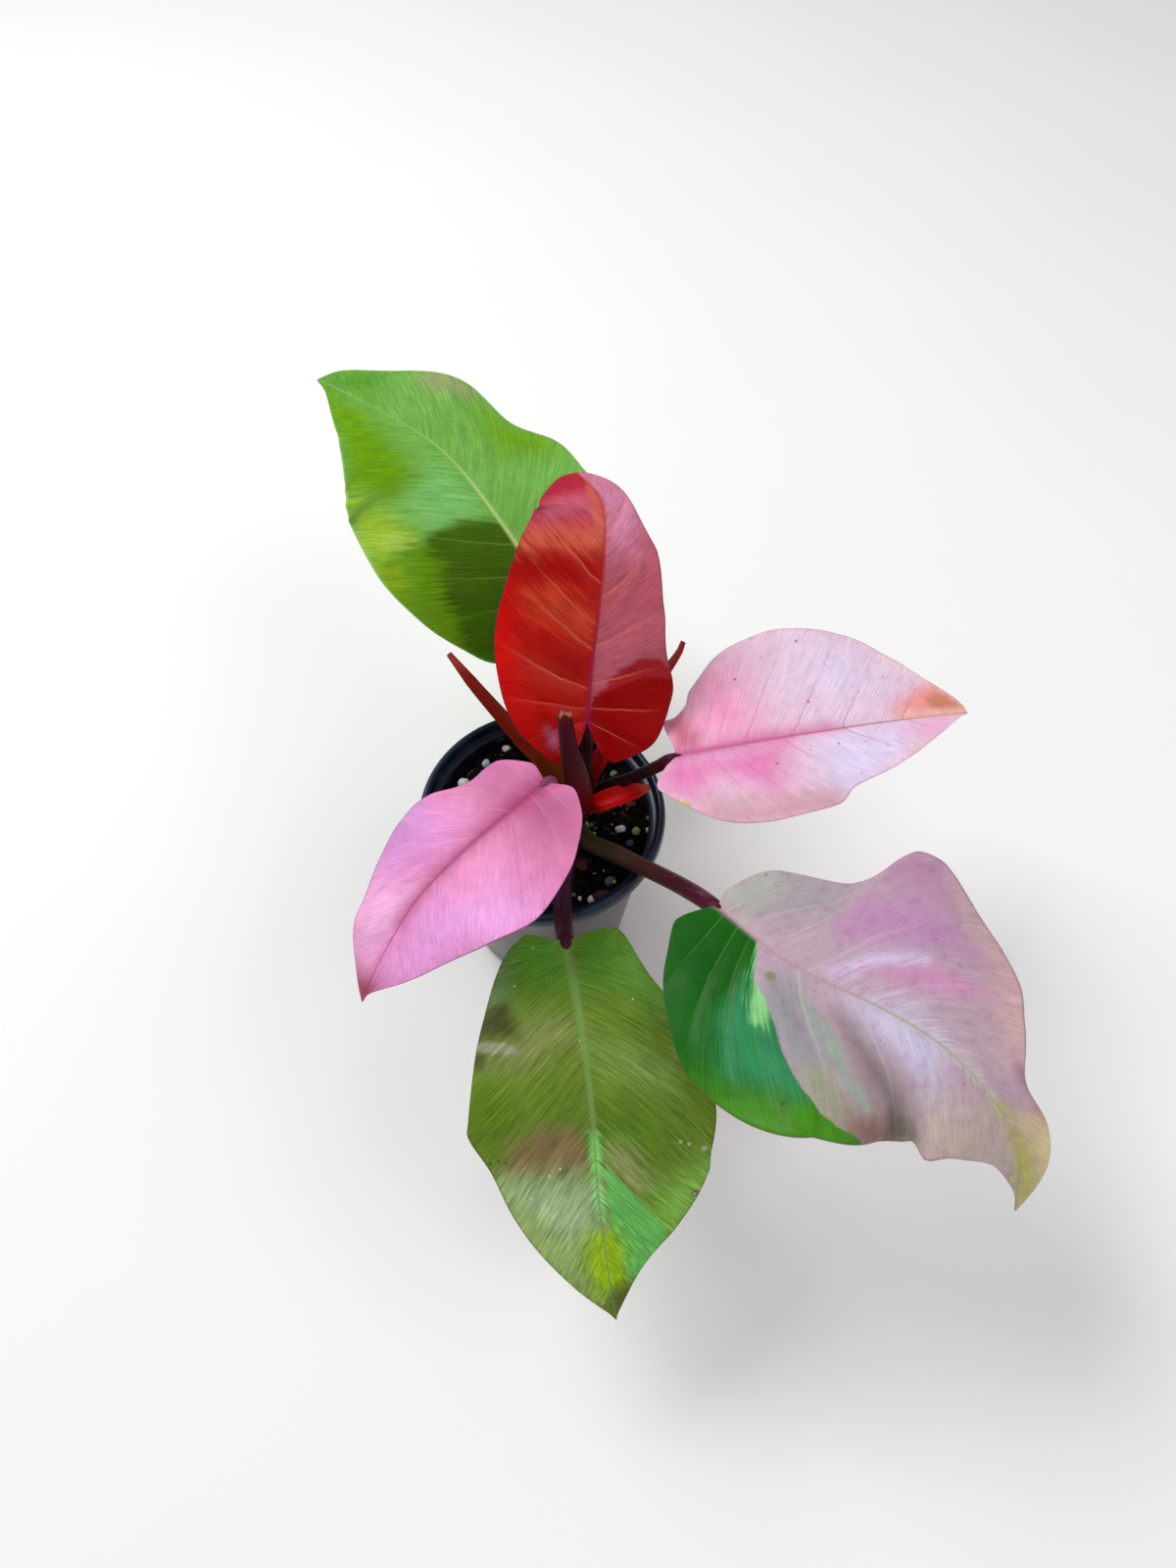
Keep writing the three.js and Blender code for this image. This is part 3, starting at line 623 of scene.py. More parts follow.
def rounded(profile, steps=6, size=0.5):
    """the same profile with its corners turned into short curves"""
    p = np.array(profile, float)
    out = [p[0]]
    for a, b, c in zip(p, p[1:], p[2:]):
        r = min(size, np.linalg.norm(b - a) * 0.45, np.linalg.norm(c - b) * 0.45)
        start, end = b + unit(a - b) * r, b + unit(c - b) * r
        for k in range(steps + 1):
            f = k / steps
            out.append((1 - f) ** 2 * start + 2 * f * (1 - f) * b + f * f * end)
    out.append(p[-1])
    return out


ledge = POT_HEIGHT - LIP_HEIGHT + 1
pot = turned("pot_shell", rounded([
    [0.01, 0], [35.4, 0], [37.4, 0.7], [outer_at(2.4), 2.4], [outer_at(88.6), 88.6], [54.3, 88.7],
    [54.9, 89.4], [LIP_RADIUS, 92.4], [54.5, 94.3], [53.4, POT_HEIGHT], [52.2, 94.8], [51.5, 93.8],
    [51.1, ledge + 0.9], [49.4, ledge + 0.3], [outer_at(ledge) - WALL, ledge - 0.8],
    [outer_at(3.2) - WALL, 3.2],
    [outer_at(FLOOR) - 3, FLOOR], [0.01, FLOOR]]), 160)
ends, sides = [], []
for i in range(DRAIN_HOLES):
    a = 2 * math.pi * (i + 0.5) / DRAIN_HOLES
    way = np.array([math.cos(a), math.sin(a), -1]) / math.sqrt(2)
    across = np.array([-math.sin(a), math.cos(a), 0])
    third = np.cross(way, across)
    middle = np.array([DRAIN_RING * math.cos(a), DRAIN_RING * math.sin(a), 1.6])
    turn = 2 * np.pi * np.arange(DRAIN_SIDES)[:, None] / DRAIN_SIDES
    ring = middle + DRAIN_RADIUS * (np.cos(turn) * across + np.sin(turn) * third)
    low = i * 2 * DRAIN_SIDES
    high = low + DRAIN_SIDES
    ends += [ring - DRAIN_REACH * way, ring + DRAIN_REACH * way]
    for k in range(DRAIN_SIDES):
        n = (k + 1) % DRAIN_SIDES
        sides.append([low + k, low + n, high + n, high + k])
    sides += [list(range(high - 1, low - 1, -1)), list(range(high, high + DRAIN_SIDES))]
cutter = mesh_object("drain_cutter", np.vstack(ends), sides, smooth=False)
weld(cutter)
cut = pot.modifiers.new("drain", "BOOLEAN")
cut.operation = "DIFFERENCE"
cut.object = cutter
cut.solver = "EXACT"
bpy.context.view_layer.objects.active = pot
pot.select_set(True)
bpy.ops.object.modifier_apply(modifier="drain")
bpy.data.objects.remove(cutter)
place(pot, "pot_plastic", "pot")
g = Paint("pot_plastic", Specular_IOR_Level=0.32, Coat_Weight=0.1, Coat_Roughness=0.2)
px, py, pz = g.split(g.place())[:3]
ring_noise = g.noise(g.vec(0.0, 0.0, g.m("MULTIPLY", pz, 900.0)), 1.0, 2.0)
cloud = g.noise(g.place(), 45.0, 5.0, 0.6)
grain = g.noise(g.place(), 900.0, 2.0)
dust = g.span(g.noise(g.place(), 120.0, 6.0, 0.7), 0.55, 0.8)
navy = g.mix(g.span(cloud, 0.35, 0.7), lin(5, 17, 32), lin(12, 34, 58))
# the outer wall's grey is partly the plastic's own dusty grey and partly painted sheen of the sky
wall_grey_and_reflection = g.mix(g.span(cloud, 0.3, 0.7), lin(60, 62, 62), lin(92, 92, 88))
is_wall = g.span(pz, 0.0895, 0.0875)
radius = g.m("SQRT", g.m("ADD", g.m("MULTIPLY", px, px), g.m("MULTIPLY", py, py)))
wall_line = g.m("ADD", 0.0376, g.m("MULTIPLY", pz, 0.1275))
outside = g.span(g.m("SUBTRACT", radius, wall_line), -0.0009, -0.0003)
# shade marks the outer wall below the lip, which gets the grey with its painted sheen
shade = g.m("MULTIPLY", is_wall, outside)
colour = g.mix(shade, navy, wall_grey_and_reflection)
colour = g.mix(g.m("MULTIPLY", dust, 0.12), colour, lin(110, 104, 96))
g.colour(colour)
g.rough(g.m("ADD", 0.26, g.m("MULTIPLY", grain, 0.18)))
g.bump(g.m("ADD", g.m("MULTIPLY", ring_noise, 0.5), grain), 0.12, 0.0003)
pot.data.materials.append(g.mat)


# Soil
CROWN_PLACE = (12, -4)
CROWN_HOLE = 7


def soil_height(x, y):
    """small lumps of the surface of the mix, over its mean level"""
    p = np.stack([x, y, np.zeros_like(x)], -1)
    low = (0.9 * np.sin(x * 0.31 + 1.2 * np.sin(y * 0.23)) * np.cos(y * 0.37 + x * 0.11)
           + 0.6 * np.sin(x * 0.83 - y * 0.61))
    return low + 1.1 * noise3(p, 3.1, 1) + 0.8 * noise3(p, 1.3, 2) + 0.35 * noise3(p, 0.6, 3)


def soil_top(x, y):
    return SOIL_LEVEL + float(soil_height(np.array([x]), np.array([y]))[0])


def build_soil():
    rings, sides = 150, 300
    rim = outer_at(SOIL_LEVEL) - WALL - 0.15
    foot = outer_at(FLOOR) - WALL - 2.2
    r = np.linspace(0, 1, rings + 1) * rim
    a = 2 * np.pi * np.arange(sides) / sides
    x = r[:, None] * np.cos(a)
    y = r[:, None] * np.sin(a)
    z = SOIL_LEVEL + soil_height(x, y) * (1 - 0.5 * smooth_step(0.95, 1, r / rim)[:, None])
    near = np.hypot(x - CROWN_PLACE[0], y - CROWN_PLACE[1])
    z = np.where(near < CROWN_HOLE, z - 3, z)
    top = np.stack([x, y, z], -1).reshape(-1, 3)
    low = np.stack([foot * np.cos(a), foot * np.sin(a), np.full(sides, FLOOR + 0.3)], -1)
    verts = np.vstack([top, low, [[0, 0, FLOOR + 0.3]]])
    faces = []
    index = np.arange((rings + 1) * sides).reshape(rings + 1, sides)
    nxt = np.roll(index, -1, 1)
    faces += np.stack([index[:-1], index[1:], nxt[1:], nxt[:-1]], -1).reshape(-1, 4).tolist()
    base = (rings + 1) * sides
    for k in range(sides):
        n = (k + 1) % sides
        faces.append([rings * sides + k, base + k, base + n, rings * sides + n])
        faces.append([base + n, base + k, base + sides])
    soil = mesh_object("potting_mix", verts, faces)
    weld(soil)
    return soil


soil = place(build_soil(), "potting_mix", "soil")
g = Paint("soil_paint", Specular_IOR_Level=0.08)
fleck = g.noise(g.place(), 900.0, 4.0, 0.7)
lump = g.noise(g.place(), 220.0, 4.0, 0.6)
colour = g.mix(g.span(lump, 0.35, 0.7), lin(4, 4, 5), lin(20, 15, 13))
colour = g.mix(g.m("MULTIPLY", g.span(fleck, 0.66, 0.78), 0.4), colour, lin(74, 54, 42))
g.colour(colour)
g.rough(0.85)
g.bump(fleck, 0.8, 0.0008)
soil.data.materials.append(g.mat)


def grains(name, spots, colour_a, colour_b, flat=0.8, detail=2, bumpy=0.18, shine=0.3):
    """loose grains lying on the soil: (x, y, size, stretch, turn, lift)"""
    verts, faces, tints = [], [], []
    for k, (x, y, size, stretch, turn, lift) in enumerate(spots):
        v, f = ball(detail)
        v = v * (1 + bumpy * noise3(v, 0.6, k + 11)[:, None] + bumpy * 0.6 * noise3(v, 0.28, k + 5)[:, None])
        v = v * np.array([size * stretch, size, size * flat])
        rng = np.random.RandomState(k * 7 + 3)
        v = swung(tipped(v, rng.uniform(-0.35, 0.35)), turn)
        v = v + np.array([x, y, soil_top(x, y) + lift])
        at = sum(len(q) for q in verts)
        verts.append(v)
        faces += [[i + at for i in q] for q in f]
        tints.append(np.full(len(v), rng.uniform(0, 1)))
    piece = mesh_object(name, np.vstack(verts), faces, {"tint": np.concatenate(tints)})
    g = Paint(name + "_paint", Specular_IOR_Level=shine)
    speck = g.noise(g.place(), 1400.0, 4.0, 0.7)
    colour = g.mix(g.attr("tint")["Fac"], colour_a, colour_b)
    colour = g.mix(g.m("MULTIPLY", g.span(speck, 0.55, 0.3), 0.5), colour,
                   g.mix(1.0, colour, (0.4, 0.38, 0.36, 1), "MULTIPLY"))
    g.colour(colour)
    g.rough(0.9)
    g.bump(speck, 0.5, 0.0004)
    return dress(piece, g.mat, "potting_mix")


rng = np.random.RandomState(41)


def scatter(count, low, high, radius=45, hole=9.5, lift=0.2, stretch=(1.0, 1.8)):
    """seeded places of grains, as grains() takes them, clear of the wall and the crown"""
    found = []
    while len(found) < count:
        x, y = rng.uniform(-radius, radius, 2)
        if math.hypot(x, y) > radius - high or math.hypot(x - CROWN_PLACE[0], y - CROWN_PLACE[1]) < hole:
            continue
        size = rng.uniform(low, high)
        found.append((x, y, size, rng.uniform(*stretch), rng.uniform(0, 6.3), size * lift))
    return found


grains("bark_dark", scatter(420, 0.7, 2.2), lin(5, 4, 4), lin(26, 18, 15), flat=0.5, detail=1,
       bumpy=0.4, shine=0.08)
grains("perlite", [
    (-18, 40, 1.9, 1.1, 0.3, 0.5), (-27, 31, 1.9, 1.1, 1.2, 0.5), (-37, 20, 2.6, 1.1, 0.7, 0.8),
    (35, -4, 1.7, 1.6, 0.1, 0.5), (48, -4, 1.6, 1.1, 1.4, 0.5), (22, -39, 1.9, 1.15, 0.4, 0.5),
    (17, -38, 1.1, 1.1, 2, 0.4), (23, -26, 0.9, 1.2, 0, 0.3), (22, 5, 0.8, 1.2, 0, 0.3),
    (24, 24, 0.8, 1.2, 0, 0.3), (32, 5, 0.8, 1, 0, 0.3), (47, -18, 0.8, 1, 0, 0.3)]
    + scatter(12, 0.3, 0.7, stretch=(1, 1.3)), lin(176, 190, 188), lin(226, 226, 224), flat=0.85)
grains("chips_green", [
    (42, -5, 1.9, 1.15, 1.5, 0.5), (48, 1, 1.3, 1.1, 0.3, 0.4), (39, -29, 1.5, 1.2, 1, 0.4),
    (32, 26, 2, 1.2, 0.3, 0.5), (32, -31, 0.8, 1.3, 0.5, 0.4)] + scatter(6, 0.4, 0.8),
    lin(96, 108, 84), lin(150, 156, 92))
grains("chips_grey", [
    (39, -11, 1.5, 1.2, 0.6, 0.4), (32, -36, 1.3, 1.5, 0.8, 0.4), (30, -30, 2.2, 1.3, 0.9, 0.3),
    (21, -2, 1.2, 1.9, 0.3, 0.3), (14, -37, 1, 1.3, 0, 0.3)] + scatter(16, 0.5, 1.4),
    lin(44, 50, 62), lin(92, 98, 108))
grains("bark_red", [
    (18, -22, 2.8, 1.6, -0.4, 0.6), (26, -38, 2.4, 1.5, 0.3, 0.5), (40, 9, 1.7, 1.6, 0.4, 0.4),
    (37, 5, 1.5, 1.8, 0.9, 0.4)] + scatter(16, 0.7, 1.6), lin(58, 22, 20), lin(96, 44, 38),
    flat=0.45, bumpy=0.35)


def fibres(name, count, spots):
    """thin bent fibres lying on the mix"""
    verts, faces = [], []
    for k in range(count):
        x, y = spots[k % len(spots)] if k < 2 * len(spots) else rng.uniform(-34, 34, 2)
        way = rng.uniform(0, 6.3)
        bend = rng.uniform(-0.25, 0.25)
        points = []
        for _ in range(9):
            x, y = x + 1.1 * math.cos(way), y + 1.1 * math.sin(way)
            way += bend + rng.uniform(-0.15, 0.15)
            points.append((x, y, soil_top(x, y) + 0.5))
        if max(math.hypot(p[0], p[1]) for p in points) > 43:
            continue
        line = trace(points, 24)[0]
        ahead = unit(np.gradient(line, axis=0))
        side = unit(np.cross([0, 0, 1.0], ahead))
        up = np.cross(ahead, side)
        thick = 0.22 * (1 - 0.7 * np.linspace(0, 1, len(line)))[:, None]
        base = sum(len(v) for v in verts)
        for j in range(5):
            a = 2 * math.pi * j / 5
            verts.append(line + (side * math.cos(a) + up * math.sin(a)) * thick)
        n = len(line)
        for j in range(5):
            for i in range(n - 1):
                a, b = base + j * n + i, base + ((j + 1) % 5) * n + i
                faces.append([a, b, b + 1, a + 1])
        faces.append([base + j * n for j in range(4, -1, -1)])
        faces.append([base + j * n + n - 1 for j in range(5)])
    piece = mesh_object(name, np.vstack(verts), faces)
    g = Paint(name + "_paint", Specular_IOR_Level=0.2)
    g.colour(g.mix(g.noise(g.place(), 300.0, 3.0), lin(78, 62, 24), lin(140, 122, 62)))
    g.rough(g.span(g.noise(g.place(), 900.0), 0.3, 0.7, 0.7, 0.95))
    return dress(piece, g.mat, "potting_mix")


fibres("root_fibres", 34, [(-26, 43), (-19, 39), (-30, 40), (-22, 36), (-30, 28), (17, -10), (28, 14)])


# Stems and sheaths
def swept(name, path, sizes, section, facing, rings, mouth=0.0, shape=None, extra=None):
    """long closed body; section is a closed outline of unit size, facing is where its 2nd number points"""
    line, gone = trace(path, 60 * (len(path) - 1))
    total = gone[-1]
    sec = np.array(section, float)
    n = len(sec)
    x = np.linspace(0, total, rings + 1)
    u = x / total
    centre = at_length(line, gone, x)
    ahead = unit(at_length(line, gone, x + 0.5) - at_length(line, gone, x - 0.5))
    side = unit(np.cross(np.array(facing, float), ahead))
    up = np.cross(ahead, side)
    size = along(sizes, u)
    k = np.arange(n)
    sx = sec[None, :, 0] * size[:, None]
    sy = sec[None, :, 1] * size[:, None]
    if shape is not None:
        sx, sy = shape(u[:, None], k[None] / n, sx, sy)
    p = centre[:, None] + side[:, None] * sx[..., None] + up[:, None] * sy[..., None]
    if extra is not None:
        p = p + ahead[:, None] * extra(u[:, None], k[None] / n)[..., None]
    verts = p.reshape(-1, 3)
    faces = []
    for i in range(rings):
        for j in range(n):
            a, b = i * n + j, i * n + (j + 1) % n
            faces.append([a, b, b + n, a + n])
    foot, head = len(verts), len(verts) + 1
    verts = np.vstack([verts, centre[:1], at_length(line, gone, np.array([total - mouth]))])
    for j in range(n):
        b = (j + 1) % n
        faces += [[foot, b, j], [head, rings * n + j, rings * n + b]]
    length = np.r_[np.repeat(u, n), 0, 1]
    turn = np.r_[np.tile(k / n, rings + 1), 0, 0]
    return mesh_object(name, verts, faces, {"length": length, "turn": turn})


def round_section(sides, flat=1.0):
    a = 2 * np.pi * np.arange(sides) / sides
    return np.stack([np.cos(a), np.sin(a) * flat], 1)


def smooth_section(points, each=6):
    p = np.array(points, float)
    n = len(p)
    out = []
    for i in range(n):
        a, b, c, d = p[(i - 1) % n], p[i], p[(i + 1) % n], p[(i + 2) % n]
        for k in range(each):
            out.append(between(a, b, c, d, k / each))
    return np.array(out)


# outline of a sheath across its length: hollow above, rounded below
SHEATH = smooth_section([
    [1, 0.3], [0.5, -0.08], [0, -0.22], [-0.5, -0.08], [-1, 0.3],
    [-0.92, -0.25], [-0.55, -0.72], [0, -0.9], [0.55, -0.72], [0.92, -0.25]])


def stem_paint(name, stops, rough=0.4, speckle=0.0):
    """stops: (share of the length, colour)"""
    g = Paint(name, Specular_IOR_Level=0.12)
    length = g.attr("length")["Fac"]
    turn = g.attr("turn")["Fac"]
    colour = stops[0][1]
    wander = g.m("MULTIPLY", g.m("SUBTRACT", g.noise(g.place(), 160.0, 3.0), 0.5), 0.25)
    here = g.m("ADD", length, wander)
    for (a, _), (b, tint) in zip(stops, stops[1:]):
        colour = g.mix(g.span(here, a, b), colour, tint)
    around = g.m("MULTIPLY", turn, 2 * math.pi)
    ring_x = g.m("MULTIPLY", g.m("COSINE", around), 9.0)
    ring_y = g.m("MULTIPLY", g.m("SINE", around), 9.0)
    threads = g.noise(g.vec(ring_x, ring_y, g.m("MULTIPLY", length, 3.0)), 1.0, 3.0, 0.6)
    lighter = g.mix(1.0, colour, (1.6, 1.5, 1.4, 1), "MULTIPLY")
    colour = g.mix(g.m("MULTIPLY", g.span(threads, 0.45, 0.75), 0.3), colour, lighter)
    if speckle:
        dots = g.span(g.noise(g.place(), 700.0, 2.0), 0.68, 0.76)
        colour = g.mix(g.m("MULTIPLY", dots, speckle), colour, lin(190, 150, 130))
    g.colour(colour)
    g.rough(g.m("ADD", rough - 0.05, g.m("MULTIPLY", threads, 0.15)))
    g.bump(threads, 0.3, 0.0004)
    return g.mat


def stalk(name):
    leaf = LEAVES[name]
    path = [list(p) for p in leaf["stalk"]]
    thick, thin = leaf["radius"]
    for x, drop in ((-3, 0.62), (5, 0.95), (15, 1.15)):
        point, ahead, side, up, u = rib_frame(leaf, np.array([float(x)]))
        path.append((point + up * (-drop * thin - 0.9))[0].tolist())
    sizes = [thick * 1.15, thick, thick, thin, thin, thin, thin, thin * 0.95, thin * 0.3]

    def shape(u, k, sx, sy):
        groove = 1 - 0.12 * np.exp(-(((k - 0.25) / 0.05) ** 2)) * smooth_step(0.15, 0.4, u)
        return sx * groove, sy * groove

    return swept("stalk_" + name, path, sizes, round_section(36, 0.92), [0.2, -0.5, 1], 110, shape=shape)


STALKS = {
    "back": [(0, lin(56, 24, 14)), (0.4, lin(70, 34, 20)), (1, lin(90, 80, 30))],
    "red": [(0, lin(34, 6, 8)), (0.5, lin(44, 6, 14)), (1, lin(80, 12, 26))],
    "pink": [(0, lin(14, 2, 4)), (0.6, lin(40, 4, 12)), (0.85, lin(70, 14, 30)), (1, lin(150, 84, 100))],
    "lilac": [(0, lin(40, 12, 22)), (0.5, lin(76, 30, 60)), (0.9, lin(130, 64, 100))],
    "front": [(0, lin(34, 14, 22)), (0.5, lin(54, 22, 40)), (0.85, lin(64, 20, 40))],
    "broad": [(0, lin(58, 56, 34)), (0.2, lin(62, 50, 36)), (0.42, lin(60, 32, 28)), (0.6, lin(62, 18, 26)),
              (0.85, lin(74, 12, 36))],
}
for name, stops in STALKS.items():
    slot = "stalk_olive" if name == "broad" else "stalk_dark"
    dress(stalk(name), stem_paint("stalk_" + name, stops, speckle=0.3), slot, "petiole_" + name)

crown = swept("crown_stem", [[12, -4, 58], [12, -4, 72], [12, -4, 86], [14.5, -4, 98], [18, -3, 109]],
              [6.4, 7.4, 7.4, 7.3, 6.6, 5.2, 2.6], round_section(48), [0, 1, 0.001], 90,
              shape=lambda u, k, sx, sy: (sx * (1 + 0.03 * np.sin(u * 60)), sy * (1 + 0.03 * np.sin(u * 60))))
skin = stem_paint(
    "crown_skin", [(0, lin(24, 16, 10)), (0.6, lin(44, 28, 16)), (1, lin(64, 10, 10))], rough=0.6)
dress(crown, skin, "crown_skin", "crown")

stub = swept("stub_sheath", [[16, -6, 103], [17, -8, 112], [16, -9, 132], [13, -6, 150], [11, 1, 166]],
             [4.6, 5.8, 5.4, 4.6, 3.6, 2.9], round_section(40, 0.62), [0.2, -1, 0.3], 90, mouth=7,
             extra=lambda u, k: smooth_step(0.96, 1, u) * (1.1 * np.cos(2.4 * k * 10) + 0.5 * np.sin(40 * k)))
skin = stem_paint(
    "stub_red", [(0, lin(104, 4, 4)), (0.3, lin(86, 4, 8)), (0.7, lin(62, 4, 16)), (0.93, lin(70, 6, 24)),
                 (0.99, lin(96, 20, 30)), (1.02, lin(176, 120, 100))], rough=0.45)
dress(stub, skin, "sheath_red", "sheath_stub")

short = swept("short_sheath", [[18, -6, 106], [25, -7, 112], [32, -6, 115], [39, -4, 116], [47, -1, 115]],
              [2.4, 3.8, 4.4, 4.2, 3.4, 1.2], SHEATH, [0, -0.15, 1], 80)
skin = stem_paint(
    "short_red", [(0, lin(124, 2, 2)), (0.3, lin(178, 4, 2)), (0.8, lin(196, 16, 12)),
                  (1.0, lin(206, 90, 80))], rough=0.4)
dress(short, skin, "sheath_red", "cataphyll_short")

left = swept("left_sheath", [[9, 1, 96], [5, 8, 109], [1, 12, 118], [-8, 16, 127], [-18, 23, 137],
                             [-28, 31, 146], [-38, 40, 155]],
             [5.4, 6.4, 4.4, 3.4, 2.9, 2.4, 1.2], SHEATH, [0.1, -0.6, 0.8], 110)
skin = stem_paint(
    "left_brown", [(0, lin(80, 44, 8)), (0.22, lin(126, 60, 14)), (0.5, lin(134, 40, 12)),
                   (0.8, lin(140, 36, 22)), (0.97, lin(168, 62, 56))], rough=0.5)
dress(left, skin, "sheath_brown", "cataphyll_left")

right = swept("right_sheath", [[18, 1, 105], [24, 9, 119], [38, 23, 131], [57, 43, 147], [61, 49, 152]],
              [3.4, 3.8, 3.2, 2.6, 2.2, 1.1], SHEATH, [0.1, -0.6, 0.8], 90)
skin = stem_paint(
    "right_brown", [(0, lin(170, 8, 4)), (0.3, lin(160, 16, 8)), (0.7, lin(140, 30, 20)),
                    (0.95, lin(158, 56, 48))], rough=0.5)
dress(right, skin, "sheath_brown", "cataphyll_right")


def build_sprout():
    x, y = 22, -10
    stem = swept("young_shoot", [[x, y, 78], [x, y, 84], [x - 1.6, y + 1, 89], [x - 3.6, y + 2, 92]],
                 [1.2, 1.2, 1.1, 0.9], round_section(18), [0, 1, 0.1], 30)
    parts = [stem]
    leaflets = [(-0.2, -0.4, 89.5, 0.4), (-4.4, 0.2, 91, 2.6), (-3.2, 3, 93.5, 1.7)]
    for k, (dx, dy, z, turn) in enumerate(leaflets):
        v, f = ball(4)
        taper = 1 - 0.45 * v[:, 0] ** 2 * (v[:, 0] > 0)
        w = np.stack([v[:, 0] * 2.6, v[:, 1] * 1.8 * taper, v[:, 2] * 0.7 + 0.5 * v[:, 1] ** 2], 1)
        w = swung(tipped(w, 0.5), turn)
        parts.append(mesh_object(f"shoot_{k}", w + np.array([x + dx, y + dy, z]), f,
                                 {"length": np.full(len(v), 0.9), "turn": (v[:, 1] + 1) / 2}))
    bpy.ops.object.select_all(action="DESELECT")
    for p in parts:
        p.select_set(True)
    bpy.context.view_layer.objects.active = stem
    bpy.ops.object.join()
    return stem


SHOOT_GREEN = [(0, lin(120, 120, 60)), (1, lin(104, 196, 44))]
dress(build_sprout(), stem_paint("shoot_green", SHOOT_GREEN), "shoot_green", "sprout")


